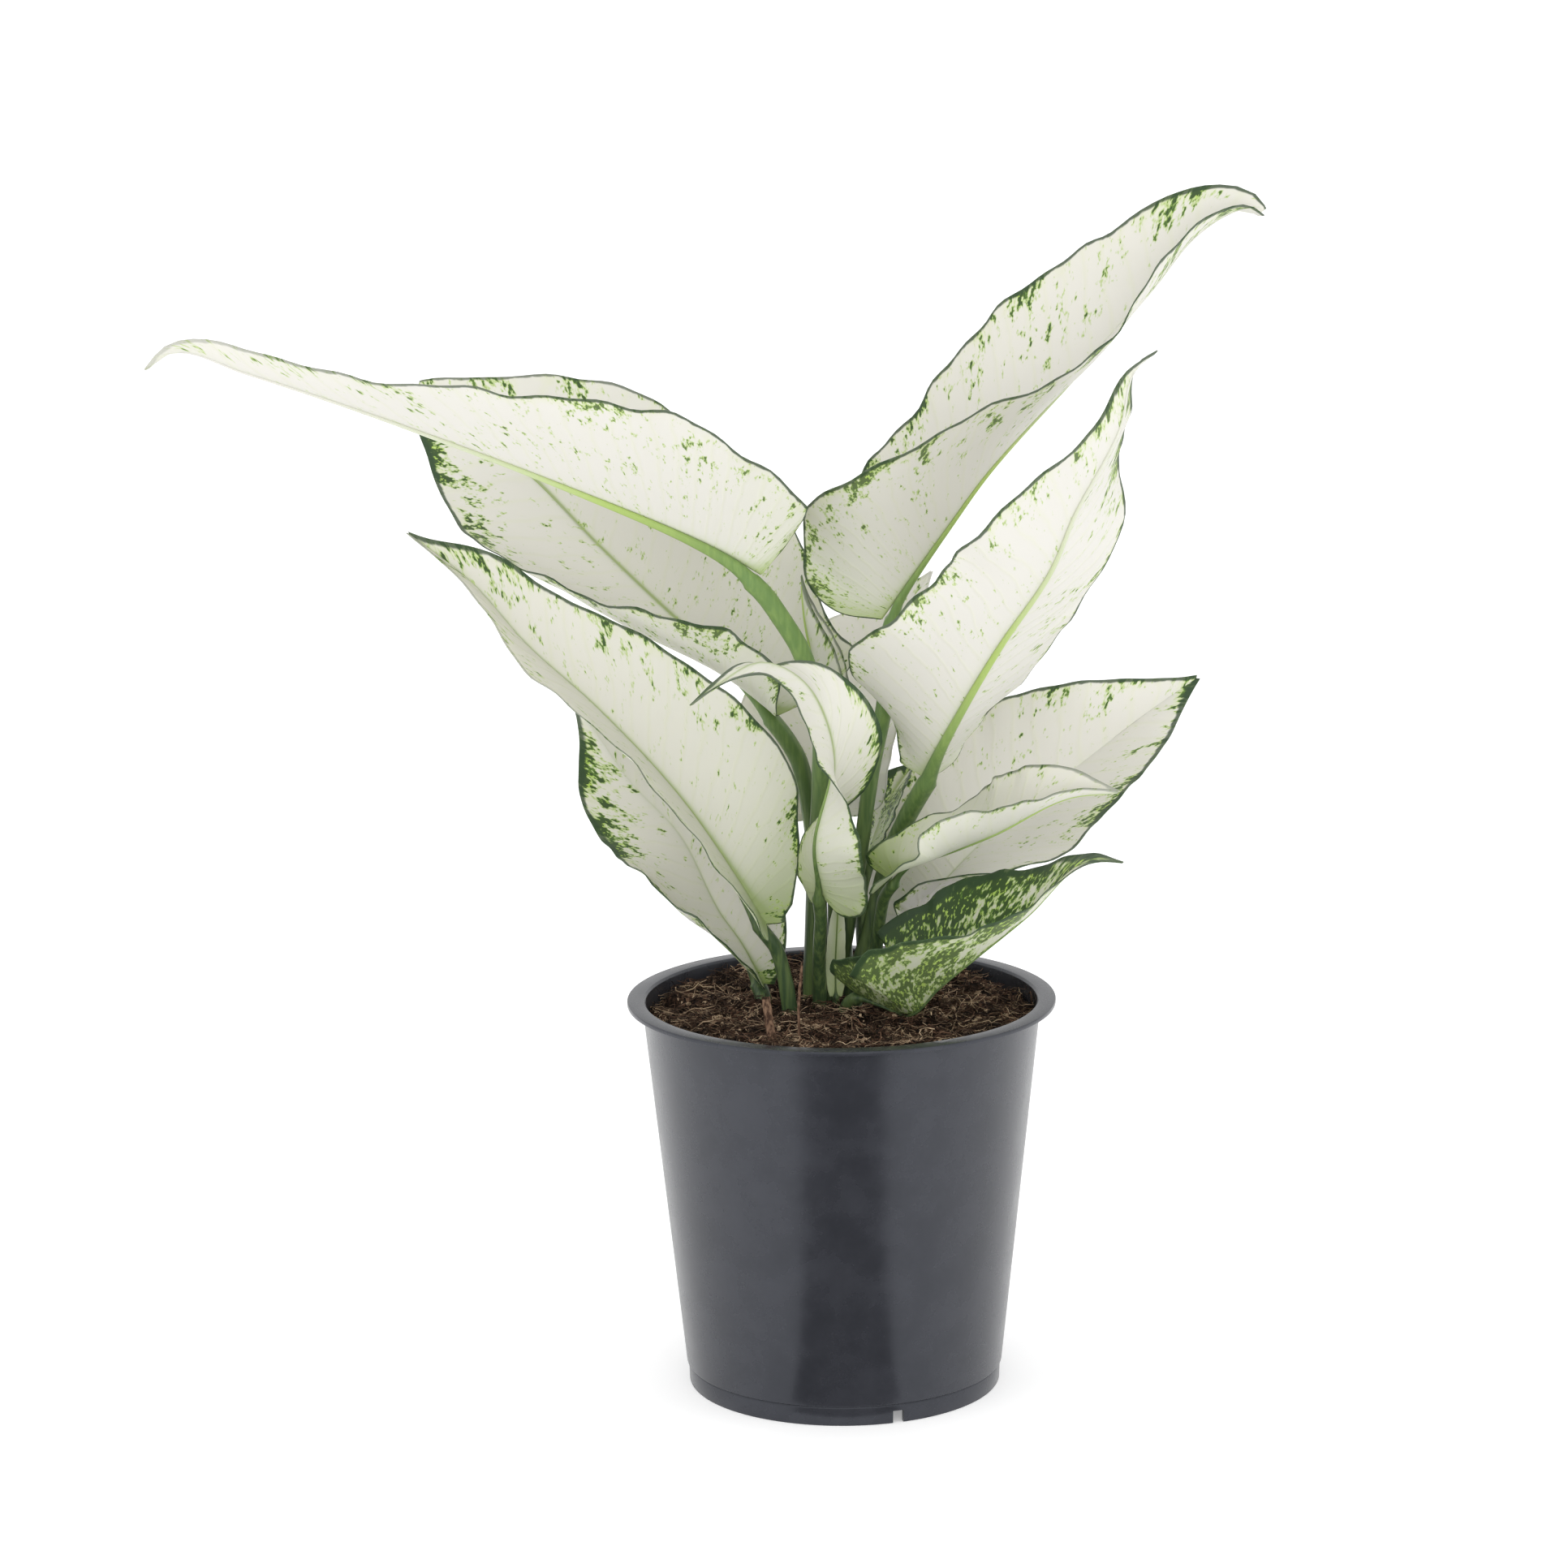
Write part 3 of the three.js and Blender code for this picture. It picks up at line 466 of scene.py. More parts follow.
# %% Smooth curves
def smooth(stations, values, places):
    """Values on a smooth curve through rows of values, at one or many places."""
    stations = np.asarray(stations, float)
    values = np.asarray(values, float).reshape(len(stations), -1)
    slopes = np.diff(values, axis=0) / np.diff(stations)[:, None]
    tangents = np.vstack([slopes[:1], (slopes[1:] + slopes[:-1]) / 2, slopes[-1:]])
    places = np.clip(places, stations[0], stations[-1])
    k = np.clip(np.searchsorted(stations, places, side="right") - 1, 0, len(stations) - 2)
    step = (stations[k + 1] - stations[k])[:, None]
    x = (places - stations[k])[:, None] / step
    start = values[k] * (2 * x**3 - 3 * x**2 + 1) + tangents[k] * step * (x**3 - 2 * x**2 + x)
    end = values[k + 1] * (3 * x**2 - 2 * x**3) + tangents[k + 1] * step * (x**3 - x**2)
    return start + end


def unit(vectors):
    return vectors / np.linalg.norm(vectors, axis=-1, keepdims=True)


class Path:
    """A smooth path through points, read by the length along it, and straight past its ends."""

    STEPS = 201
    SLOPE_REACH = 0.01

    def __init__(self, points):
        points = np.asarray(points, float)
        chords = np.r_[0, np.cumsum(np.linalg.norm(np.diff(points, axis=0), axis=1))]
        self.points = smooth(chords, points, np.linspace(0, chords[-1], self.STEPS))
        self.lengths = np.r_[0, np.cumsum(np.linalg.norm(np.diff(self.points, axis=0), axis=1))]
        self.length = self.lengths[-1]

    def inside(self, distance):
        axes = [np.interp(distance, self.lengths, axis) for axis in self.points.T]
        return np.stack(axes, axis=-1)

    def tangent(self, distance):
        distance = np.clip(distance, 0, self.length)
        reach = self.length * self.SLOPE_REACH
        ahead = self.inside(np.minimum(distance + reach, self.length))
        return unit(ahead - self.inside(np.maximum(distance - reach, 0)))

    def at(self, distance):
        held = np.clip(distance, 0, self.length)
        return self.inside(held) + (distance - held)[..., None] * self.tangent(held)


ribs = [Path(leaf["rib"]).length for leaf in LEAVES.values()]
print("the midribs are", round(min(ribs)), "to", round(max(ribs)), "mm long")

# %% [markdown]
# ## The blade
#
# A point of the blade has two coordinates: `u` from base to tip and `v` from midrib to margin.
# Lines of constant `u` leave the midrib and sweep forward to the margin, just as the side veins
# of a real leaf do, so the mottling and the veins can follow them. The sheet is thickened along
# its own normals, thinner at the margin, and its margin waves a little.

# %% The middle surface of a blade
STATIONS = np.linspace(0, 1, 5)
TRIM_STATIONS = [0, 0.1, 0.22, 0.36, 0.5, 0.65, 0.8, 0.92, 1]
WAIST_END = 0.35
WIDEST = 0.42
RUFFLE_SLOW = 45
RUFFLE_FAST = 83
RUFFLE_WIDTH = 25
RUFFLE_HEIGHT = 0.45
RUFFLE_REACH = 0.012
WAVE_SHIFT = 0.37


def left_and_up(leaf, ways):
    """The directions to a leaf's left and out of its upper side, along its midrib."""
    heading = math.radians(leaf["facing"])
    left = np.array([-math.sin(heading), math.cos(heading), 0])
    left = unit(left - (ways @ left)[:, None] * ways)
    return left, np.cross(ways, left)


def blade_surface(leaf, path, side, u, v):
    """Points of a half blade, and how far each is from the midrib and from the margin."""
    half = 0 if side > 0 else 1
    width = leaf["width"][half]
    along, away = smooth(OUTLINE[:, 0], OUTLINE[:, 1:], u).T
    away = np.maximum(away, 0)
    away = np.where(u > WIDEST, away ** leaf["full"], away)
    away = away * (1 - leaf["waist"][half] * np.maximum(0, 1 - u / WAIST_END) ** 2)
    away = away * smooth(TRIM_STATIONS, [1, *leaf["trim"][half], 1], u)[:, 0]
    ruffle = np.sin(RUFFLE_SLOW * u + 7 * half + width)
    ruffle = ruffle + 0.7 * np.sin(RUFFLE_FAST * u + 3 * half + leaf["facing"])
    ruffle = ruffle * min(1, width / RUFFLE_WIDTH)
    away = away * (1 + RUFFLE_REACH * ruffle * v)
    along = np.where(along < 0, along * leaf["lobe"], along)
    station = u**2 * (1 - v) + along * v
    reach = away * v * width

    fold = np.radians(smooth(STATIONS, leaf["fold"][half], np.clip(station, 0, 1))[:, 0])
    bend = math.radians(leaf["curl"][half]) / width
    start = fold - math.radians(leaf["curl"][half]) / 2
    slope = start + bend * reach
    out = (np.sin(slope) - np.sin(start)) / bend
    rise = (np.cos(start) - np.cos(slope)) / bend
    swell, count, phase = leaf["wave"]
    waves = swell * np.sin(2 * np.pi * (count * u + phase + WAVE_SHIFT * half))
    lift = (waves * v**2 + RUFFLE_HEIGHT * ruffle * v**4) * np.minimum(1, 1.5 * away)
    out = out - lift * np.sin(slope)
    rise = rise + lift * np.cos(slope)

    left, up = left_and_up(leaf, path.tangent(station * path.length))
    points = path.at(station * path.length) + side * out[:, None] * left + rise[:, None] * up
    return points, reach, away * width * (1 - v)


print("folds are given at", *STATIONS)


# %% Rows and columns of the fine sheet
def shares(count, *extra):
    """Even steps from 0 to 1 with a few extra ones."""
    return np.unique(np.r_[np.linspace(0, 1, count), extra])


BLADE_ROWS = shares(72, 0.004, 0.01, 0.02, 0.035, 0.05, 0.075, 0.99)
BLADE_COLUMNS = shares(15, 0.015, 0.03, 0.05, 0.1, 0.97, 0.985)
SHEET_MIDDLE = 0.55
SHEET_MARGIN = 0.28
TINT_REACH = 0.3
GLOW_AT_TIP = 0.9
GLOW_AT_BASE = 4
GLOW_FADE = 0.08
EDGE_SCALE = 10
DAPPLE_SCALE = 2
UV_UNIT = 100
UV_STEP = 7


def grid_faces(rows, columns, first=0, closed=True, flipped=False):
    """Faces between rows of points. Closed rows are rings, as on a tube."""
    faces = []
    for i in range(rows - 1):
        for k in range(columns if closed else columns - 1):
            a = first + i * columns + k
            b = first + i * columns + (k + 1) % columns
            face = (a, b, b + columns, a + columns)
            faces.append((face[0], *face[:0:-1]) if flipped else face)
    return faces


def blade_sheet(leaf, path, number):
    """Points, faces and skin values of a blade from margin to margin, both faces and the edge."""
    columns = np.r_[-BLADE_COLUMNS[::-1], BLADE_COLUMNS[1:]]
    rows = BLADE_ROWS[1:-1]
    grid = np.zeros((len(rows), len(columns), 3))
    reach = np.zeros(grid.shape[:2])
    edge = np.zeros(grid.shape[:2])
    for k, column in enumerate(columns):
        side = 1 if column < 0 else -1
        across = np.full(len(rows), abs(column))
        points, away, inward = blade_surface(leaf, path, side, rows, across)
        grid[:, k], reach[:, k], edge[:, k] = points, side * away, inward
    normals = unit(np.cross(np.gradient(grid, axis=1), np.gradient(grid, axis=0)))
    thick = SHEET_MARGIN + (SHEET_MIDDLE - SHEET_MARGIN) * (1 - columns**2)
    offset = normals * thick[None, :, None] / 2
    points = np.concatenate([(grid + offset).reshape(-1, 3), (grid - offset).reshape(-1, 3)])

    count = len(columns)
    total = len(rows) * count
    faces = grid_faces(len(rows), count, closed=False)
    faces += grid_faces(len(rows), count, total, closed=False, flipped=True)
    rim = [i * count for i in range(len(rows))]
    rim += [(len(rows) - 1) * count + k for k in range(1, count)]
    rim += [i * count + count - 1 for i in range(len(rows) - 2, -1, -1)]
    rim += [k for k in range(count - 2, 0, -1)]
    for a, b in zip(rim, rim[1:] + rim[:1]):
        faces.append((a, b, b + total, a + total))

    u = np.repeat(rows, count)
    left, right = (smooth(STATIONS, row, u)[:, 0] for row in leaf["mottle"])
    margin = np.where(np.tile(columns < 0, len(rows)), left, right)
    near_edge = np.exp(-edge.ravel() / leaf["spread"])
    dapple = leaf["inside"] + (margin - leaf["inside"]) * near_edge
    tint = leaf["tint"] * np.exp(-u / (TINT_REACH * leaf["green"]))
    glow_reach = GLOW_AT_TIP + GLOW_AT_BASE * np.exp(-u / GLOW_FADE)
    glow = np.exp(-np.abs(reach.ravel()) / glow_reach - u / (0.2 + leaf["green"]))
    rib_glow = tint + (1 - tint) * glow
    along = u * path.length / UV_UNIT + UV_STEP * number
    uv = np.stack([along, reach.ravel() / UV_UNIT], axis=1)
    edge = edge.ravel() / EDGE_SCALE
    skin = np.stack([edge, dapple / DAPPLE_SCALE, rib_glow, np.zeros(total)], axis=1)
    under = skin.copy()
    under[:, 3] = 1
    return points, faces, np.vstack([uv, uv]) * leaf["grain"], np.vstack([skin, under])


print("a sheet has", len(BLADE_ROWS) - 2, "rows of", 2 * len(BLADE_COLUMNS) - 1, "points a face")

# %% [markdown]
# ## The petiole and the raised midrib
#
# The petiole is a fleshy rod with a shallow channel on its upper side. Under the blade it runs on
# as the midrib, ever thinner, almost to the tip. One tapering tube does both: its path is the
# petiole's up to the blade, and then the blade's own midrib, moved to the underside.

# %% Petiole and midrib as one tube
ROOT_DEPTH = 18
STALK_RINGS = 40
RIB_RINGS = 60
RIB_ENDS = (0.01, 0.93)
TUBE_SIDES = 14
FOOT_SWELL = 0.35
FOOT_SWELL_REACH = 9
FOOT_SWELL_LIMIT = 1.12
KEEL_START = 0.03
RIB_SHARE = 0.33
RIB_FLARE = 0.47
RIB_FLARE_REACH = 0.08
RIB_TIP_RADIUS = 0.22
RIB_SUNK = 0.8
SINK_START = 0.85
CHANNEL_DEPTH = 0.22
CHANNEL_WIDTH = 0.5
KNEE_REACH = 9


def tube_faces(rings, sides):
    """Faces of a tube that is closed at both ends."""
    faces = grid_faces(rings, sides)
    faces.append(tuple(range(sides))[::-1])
    faces.append(tuple((rings - 1) * sides + k for k in range(sides)))
    return faces


def stalk_tube(leaf, rib):
    """Points and faces of the petiole and midrib, and how green and how far up each point is."""
    x, y, z = leaf["stalk"][0]
    stalk = Path([(x, y, z - ROOT_DEPTH), *leaf["stalk"], leaf["rib"][0]])
    lower = np.linspace(0, stalk.length, STALK_RINGS)
    upper = np.linspace(*RIB_ENDS, RIB_RINGS)
    centres = np.vstack([stalk.at(lower), rib.at(upper * rib.length)])
    height = np.r_[lower, stalk.length + upper * rib.length]
    soft = min(KNEE_REACH, 0.3 * (stalk.length - ROOT_DEPTH))
    knee = np.clip((height - stalk.length) / (2 * soft) + 0.5, 0, 1)[:, None]
    before, after = stalk.at(np.array([stalk.length - soft])), rib.at(np.array([soft]))
    bent = before * (1 - knee) ** 2 + stalk.points[-1] * 2 * knee * (1 - knee) + after * knee**2
    centres = np.where((knee > 0) & (knee < 1), bent, centres)
    ways = unit(np.gradient(centres, axis=0))

    foot, neck = leaf["thick"]
    swell = 1 + FOOT_SWELL * np.exp(-(((lower - ROOT_DEPTH) / FOOT_SWELL_REACH) ** 2))
    swell = np.minimum(swell, FOOT_SWELL_LIMIT)
    keel = leaf["keel"] + (1 - leaf["keel"]) * np.exp(-upper / KEEL_START)
    slim = RIB_SHARE * (1 - upper) + RIB_FLARE * np.exp(-upper / RIB_FLARE_REACH)
    radii = np.r_[(foot + (neck - foot) * lower / stalk.length) * swell,
                  neck * slim * keel + RIB_TIP_RADIUS]
    rib_sunk = radii[STALK_RINGS:] * RIB_SUNK
    sinking = [stalk.length * SINK_START, stalk.length]
    stalk_sunk = np.interp(lower, sinking, [0, rib_sunk[0]])
    left, up = left_and_up(leaf, ways)
    centres = centres - up * np.r_[stalk_sunk, rib_sunk][:, None]

    turns = np.linspace(0, 2 * np.pi, TUBE_SIDES, endpoint=False)
    channel = 1 - CHANNEL_DEPTH * np.exp(-(((turns - np.pi / 2) / CHANNEL_WIDTH) ** 2))
    ring = radii[:, None] * channel
    points = (centres[:, None] + ring[..., None] * (np.cos(turns)[:, None] * left[:, None]
              + np.sin(turns)[:, None] * up[:, None])).reshape(-1, 3)
    green = np.r_[np.ones(STALK_RINGS), np.exp(-upper / leaf["green"])]
    faces = tube_faces(len(centres), TUBE_SIDES)
    return points, faces, np.repeat(green, TUBE_SIDES), np.repeat(height, TUBE_SIDES)


print("a petiole and its midrib have", STALK_RINGS + RIB_RINGS, "rings of", TUBE_SIDES, "points")

# %% [markdown]
# ## The skin of the leaves
#
# The skin is cream white. Side veins show as faint lines, and green patches gather at the margin
# and break up into flecks towards the midrib, drawn out along the veins. All of it is worked out
# from the blade's own coordinates: its UV map holds the place along the veins and across the
# half, and the `skin` attribute holds the distance to the margin, how mottled the place is, how
# near the midrib it lies, and which face it is. One finish then serves every leaf.

# %% Colours of the leaf
CREAM = colour(215, 213, 206)
CREAM_UNDER = colour(213, 211, 205)
DEEP_GREEN = colour(44, 70, 34)
BEAD_GREEN = colour(176, 204, 98)
MID_GREEN = colour(86, 120, 46)
LIGHT_GREEN = colour(170, 192, 108)
RIB_GREEN = colour(138, 158, 84)
HALO = colour(204, 212, 160)
MARGIN_GREEN = colour(50, 72, 46)
STALK_GREEN = colour(104, 134, 74)
# The petiole's colour in the shade under the leaves, painted on its lower part.
STALK_SHADED = colour(56, 76, 48)
FLESH = dict(subsurface_scale=0.0008, subsurface_radius=(1.0, 1.0, 0.8))


def leaf_finish():
    finish = Finish("leaf_skin")
    uv = finish.node("UVMap", {}, uv_map="UVMap")
    vein, reach, _ = finish.parts("SeparateXYZ", uv)
    skin = finish.attribute("skin")
    edge, dapple, rib = finish.parts("SeparateColor", skin["Color"])
    edge = edge * EDGE_SCALE
    dapple = dapple * DAPPLE_SCALE
    under = Value(finish, skin["Alpha"])

    clusters = finish.noise(finish.vector(vein * 10, reach * 10, 0.3), 1, 2)
    drawn = finish.noise(finish.vector(vein * 46, reach * 28, 1.7), 1, 3, 0.55)
    flecks = finish.noise(finish.vector(vein * 105, reach * 68, 4.1), 1, 2, 0.6)
    gate = clusters.ramp(0.4, 0.6)
    extra = (dapple - 1).most(0)
    density = (dapple - extra) * (0.25 + 0.95 * gate) + extra * 1.5 * (1 - gate)
    beads = (1 - flecks - extra * 0.05).ramp(0.53, 0.6)
    level = drawn * 0.55 + flecks * 0.45 + density * 0.235
    halo = level.ramp(0.605, 0.68)
    core = level.ramp(0.675, 0.695)
    deep = level.ramp(0.7, 0.74)

    side_veins = ((vein * 120 + clusters * 5).wave() * 0.5 + 0.5) ** 8
    edge_noise = finish.noise(finish.vector(vein * 40, reach * 40, 0.0), 1, 2)
    band = 0.55 + (dapple - 0.5).most(0) * 1.7 * (0.3 + gate * 0.7)
    line = (1 - (edge / band - edge_noise * 1.4).ramp(0.0, 0.7)) * dapple.ramp(0.15, 0.6)
    near_line = (1 - (edge - edge_noise * 4.0).ramp(0.0, 1.5)) * (0.1 + gate * 0.9)

    cream = finish.mix(under, CREAM, CREAM_UNDER)
    cream = finish.mix(side_veins * 0.12, cream, HALO)
    cream = finish.mix(near_line * dapple.ramp(0.2, 1.0) * 0.6, cream, HALO)
    cream = finish.mix(rib * (0.5 + under * 0.3), cream, LIGHT_GREEN)
    cream = finish.mix(rib.ramp(0.15, 0.55) * (0.75 - under * 0.5), cream, RIB_GREEN)
    blotch = finish.mix(deep, MID_GREEN, DEEP_GREEN)
    blotch = finish.mix(beads * (1 - line) * 0.95, blotch, BEAD_GREEN)
    mottled = finish.mix(halo * 0.8, cream, LIGHT_GREEN)
    mottled = finish.mix(core * (0.95 - under * 0.15), mottled, blotch)
    skinned = finish.mix(line * 0.9, mottled, MARGIN_GREEN)
    finish.set(base_color=skinned, roughness=0.42 + under * 0.15 + drawn * 0.08)
    finish.set(specular_ior_level=0.35, subsurface_weight=0.25, **FLESH)
    finish.bump(side_veins * 0.5 + drawn * 0.25, 0.22, 0.0006)
    return finish.material


def stalk_finish():
    finish = Finish("leaf_stalk")
    height, _, green = finish.parts("SeparateColor", finish.attribute("skin")["Color"])
    streaks = finish.streaks((900, 900, 60), 2)
    # Painted shade: the petiole is darker towards the soil, where the leaves above shade it.
    body = finish.mix(height.ramp(0.35, 1.25), STALK_SHADED, STALK_GREEN)
    body = finish.mix(streaks.ramp(0.35, 0.75) * 0.2, body, LIGHT_GREEN)
    pale = finish.mix(green.ramp(0.0, 0.45), CREAM_UNDER, LIGHT_GREEN)
    finish.set(base_color=finish.mix(green.ramp(0.3, 0.95), pale, body), roughness=0.4)
    finish.set(specular_ior_level=0.4, subsurface_weight=0.15, **FLESH)
    finish.bump(streaks, 0.15, 0.0004)
    return finish.material


LEAF_SKIN = leaf_finish()
LEAF_STALK = stalk_finish()
print("leaf finishes:", LEAF_SKIN.name, LEAF_STALK.name)


# %% Build every leaf
def mesh_object(name, points, faces, materials):
    """An object at the origin whose mesh holds its place, from points in millimetres."""
    mesh = bpy.data.meshes.new(name)
    mesh.from_pydata(points * MM, [], faces)
    for material in materials:
        mesh.materials.append(material)
    mesh.shade_smooth()
    return new_object(name, mesh)


def build_leaf(name, leaf, number):
    rib = Path(leaf["rib"])
    points, faces, uv, skin = blade_sheet(leaf, rib, number)
    tube, rod_faces, green, height = stalk_tube(leaf, rib)
    blade_faces = len(faces)
    faces = faces + [tuple(k + len(points) for k in face) for face in rod_faces]
    height = height / UV_UNIT
    tube_skin = np.stack([height, 0 * green, green, 0 * green], axis=1)
    tube_uv = np.stack([height, 0 * green], axis=1)
    piece = mesh_object(name + "_fine", np.vstack([points, tube]), faces, [LEAF_SKIN, LEAF_STALK])
    mesh = piece.data
    skin = np.vstack([skin, tube_skin]).astype(np.float32)
    mesh.attributes.new("skin", "FLOAT_COLOR", "POINT").data.foreach_set("color", skin.ravel())
    corners = np.zeros(len(mesh.loops), int)
    mesh.loops.foreach_get("vertex_index", corners)
    uv = np.vstack([uv, tube_uv])[corners].astype(np.float32)
    mesh.uv_layers.new(name="UVMap").uv.foreach_set("vector", uv.ravel())
    slots = np.zeros(len(mesh.polygons), np.int32)
    slots[blade_faces:] = 1
    mesh.polygons.foreach_set("material_index", slots)
    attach(piece, "root")
    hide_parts(name)
    return piece


for number, (name, leaf) in enumerate(LEAVES.items()):
    piece = build_leaf(name, leaf, number)
    print(piece.name, len(piece.data.polygons), "faces")

# %% [markdown]
# ## Geometry nodes from Python
#
# Things that repeat, or that follow one simple rule, are made by a tree of geometry nodes, so a
# size can be changed in one place. When a tree has run, its result is kept as a plain mesh.

# %% A class for a tree of geometry nodes
class Tree(Nodes):
    """A tree of geometry nodes with named inputs."""

    prefix = "GeometryNode"

    def __init__(self, name, **inputs):
        self.tree = bpy.data.node_groups.new(name, "GeometryNodeTree")
        self.socket("Geometry", "INPUT", "Geometry")
        self.socket("Geometry", "OUTPUT", "Geometry")
        self.settings = {}
        for label, value in inputs.items():
            socket = self.socket(label, "INPUT", "Int" if isinstance(value, int) else "Float")
            self.settings[socket.identifier] = value
        self.start = self.tree.nodes.new("NodeGroupInput")
        self.end = self.tree.nodes.new("NodeGroupOutput")

    def socket(self, label, way, kind):
        return self.tree.interface.new_socket(label, in_out=way, socket_type="NodeSocket" + kind)

    def __getitem__(self, label):
        return Value(self, self.start.outputs[label])

    def place(self):
        return self.node("InputPosition", {})

    def random(self, low, high, seed):
        values = {2: low, 3: high, "Seed": seed}
        return self.value("FunctionNodeRandomValue", values, 1, data_type="FLOAT")

    def close(self, geometry, material):
        real = self.node("RealizeInstances", {0: geometry})
        done = self.node("SetMaterial", {0: real, "Material": material})
        self.put(self.end.inputs[0], done)

    def run(self, name, source):
        """Runs the tree on a mesh and keeps the result as a plain object."""
        holder = new_object(name + "_source", source)
        modifier = holder.modifiers.new(name, "NODES")
        modifier.node_group = self.tree
        for identifier, value in self.settings.items():
            modifier[identifier] = value
        result = holder.evaluated_get(bpy.context.evaluated_depsgraph_get())
        mesh = bpy.data.meshes.new_from_object(result)
        bpy.data.objects.remove(holder)
        mesh.name = name
        return new_object(name, mesh)


print("geometry node helper ready")

# %% [markdown]
# ## The pot
#
# A nursery pot is injection moulded in thin black polypropylene. It is a figure of revolution: a
# section with the foot ring, a small step, the tapering wall and the flange is turned round the
# axis. The mould's corners are never sharp, so the section is filleted first. The drain holes
# and the notch in the foot ring are then cut through.

# %% Pot
FOOT_RADIUS = 44
POT_SECTION = [
    (0, 0), (14, 0), (16, 4), (42.6, 4), (42.6, 0), (44, 0), (44.2, 5.1), (43.9, 5.4), (44.7, 5.8),
    (55.8, 109.7), (60, 109.7), (60, 111), (55.4, 111), (54.8, 110.4), (43.8, 6.2),
    (42.5, 5.2), (14, 5.2), (12, 1.2), (0, 1.2),
]
NOTCH_ANGLE = -71
SHARP_ANGLE = 35
TURN_RADIUS = 1
CUTTER_DEPTH = 30
CUTTER_REACH = 10

POT_DARK = colour(43, 44, 49)
POT_WORN = colour(60, 61, 67)
POT_SHEEN = (0.85, 0.9, 1.0, 1)


def pot_finish():
    finish = Finish("pot_moulded")
    place = finish.place()
    smudges = finish.noise(place, 80, 4, 0.6)
    dust = finish.noise(place, 600, 2)
    worn = smudges.ramp(0.3, 0.75) * 0.45 + dust.ramp(0.7, 0.76) * 0.3
    finish.set(base_color=finish.mix(worn, POT_DARK, POT_WORN))
    finish.set(roughness=0.2 + smudges * 0.14, specular_ior_level=0.45, specular_tint=POT_SHEEN)
    finish.bump(dust, 0.04, 0.0003)
    return finish.material


def pot_tree(material):
    tree = Tree("pot_tree", turn_steps=128, fillet=0.3 * MM, fillet_steps=2, hole_count=8,
                hole_circle=28 * MM, hole_radius=4 * MM, notch_width=3.2 * MM,
                notch_height=3.6 * MM)
    section = tree.node("MeshToCurve", {0: tree["Geometry"]})
    rounding = {0: section, "Count": tree["fillet_steps"], "Radius": tree["fillet"],
                "Limit Radius": True}
    rounded = tree.node("FilletCurve", rounding, mode="POLY")
    circle = tree.node("CurvePrimitiveCircle", {"Resolution": tree["turn_steps"],
                                                "Radius": TURN_RADIUS * MM}, mode="RADIUS")
    turned = tree.node("CurveToMesh", {"Curve": circle, "Profile Curve": rounded})
    body = tree.node("MergeByDistance", {0: turned, "Distance": 1e-6})

    ring = tree.node("MeshCircle", {"Vertices": tree["hole_count"],
                                    "Radius": tree["hole_circle"]})
    drill = tree.node("MeshCylinder", {"Vertices": 32, "Radius": tree["hole_radius"],
                                       "Depth": CUTTER_DEPTH * MM})
    holes = tree.node("InstanceOnPoints", {"Points": ring, "Instance": drill})
    size = tree.vector(CUTTER_REACH * MM, tree["notch_width"], tree["notch_height"] * 2)
    cutter = tree.node("MeshCube", {"Size": size})
    turn = math.radians(NOTCH_ANGLE)
    place = (FOOT_RADIUS * MM * math.cos(turn), FOOT_RADIUS * MM * math.sin(turn), 0)
    notch = tree.node("Transform", {0: cutter, "Translation": place,
                                    "Rotation": (0, 0, turn)})
    tools = tree.node("JoinGeometry", {0: [holes, notch]})
    tools = tree.node("RealizeInstances", {0: tools})
    cut = tree.node("MeshBoolean", {"Mesh 1": body, "Mesh 2": tools},
                    operation="DIFFERENCE", solver="EXACT")
    tree.close(cut, material)
    return tree


section_mesh = bpy.data.meshes.new("pot_section")
section_mesh.from_pydata([((r - TURN_RADIUS) * MM, -z * MM, 0) for r, z in POT_SECTION],
                         [(k, k + 1) for k in range(len(POT_SECTION) - 1)], [])
pot = pot_tree(pot_finish()).run("pot_fine", section_mesh)
pot.data.shade_smooth()
pot.data.set_sharp_from_angle(angle=math.radians(SHARP_ANGLE))
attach(pot, "root")
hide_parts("pot")
heights = [vertex.co.z for vertex in pot.data.vertices]
print("pot:", len(pot.data.polygons), "faces, from", min(heights), "to", max(heights), "m high")

# %% [markdown]
# ## The soil
#
# Potting soil is peat and coconut fibre. Its surface was pressed in by hand: higher at the front
# of the pot, lower along the sides, and lumpy everywhere. The surface is a grid of rings whose
# height comes from one formula with noise on top, and the loose litter on it comes next.

# %% Soil surface
SOIL_EDGE = 55.4
SOIL_LEVEL = 107
SOIL_FOOT = (42, 5.5)
SOIL_RINGS = 70
SOIL_SECTORS = 220
SIDE_DIP = 3
BACK_RISE = 1.5
FRONT = dict(rise=3.2, start=22, reach=33, middle=2, half_width=34)
LUMP_HEIGHT = 0.7
CLOD_SIZE, CLOD_HEIGHT = 7, 2.4
CRUMB_SIZE, CRUMB_HEIGHT = 2.4, 1.2
WALL_LOW = (43.8, 6.2)
WALL_HIGH = (54.8, 110.4)
WALL_SLOPE = (WALL_HIGH[0] - WALL_LOW[0]) / (WALL_HIGH[1] - WALL_LOW[1])
WALL_GAP = 0.3


def soil_height(x, y):
    side = (x / SOIL_EDGE) ** 4
    front = max(0, (-y - FRONT["start"]) / FRONT["reach"]) ** 2
    front = front * math.exp(-(((x - FRONT["middle"]) / FRONT["half_width"]) ** 2))
    back = max(0, y / SOIL_EDGE) ** 2
    lumps = LUMP_HEIGHT * math.sin(0.21 * x + 1) * math.cos(0.17 * y)
    return SOIL_LEVEL + FRONT["rise"] * front - SIDE_DIP * side + BACK_RISE * back + lumps


def on_circle(radius, turn):
    return radius * math.cos(turn), radius * math.sin(turn)


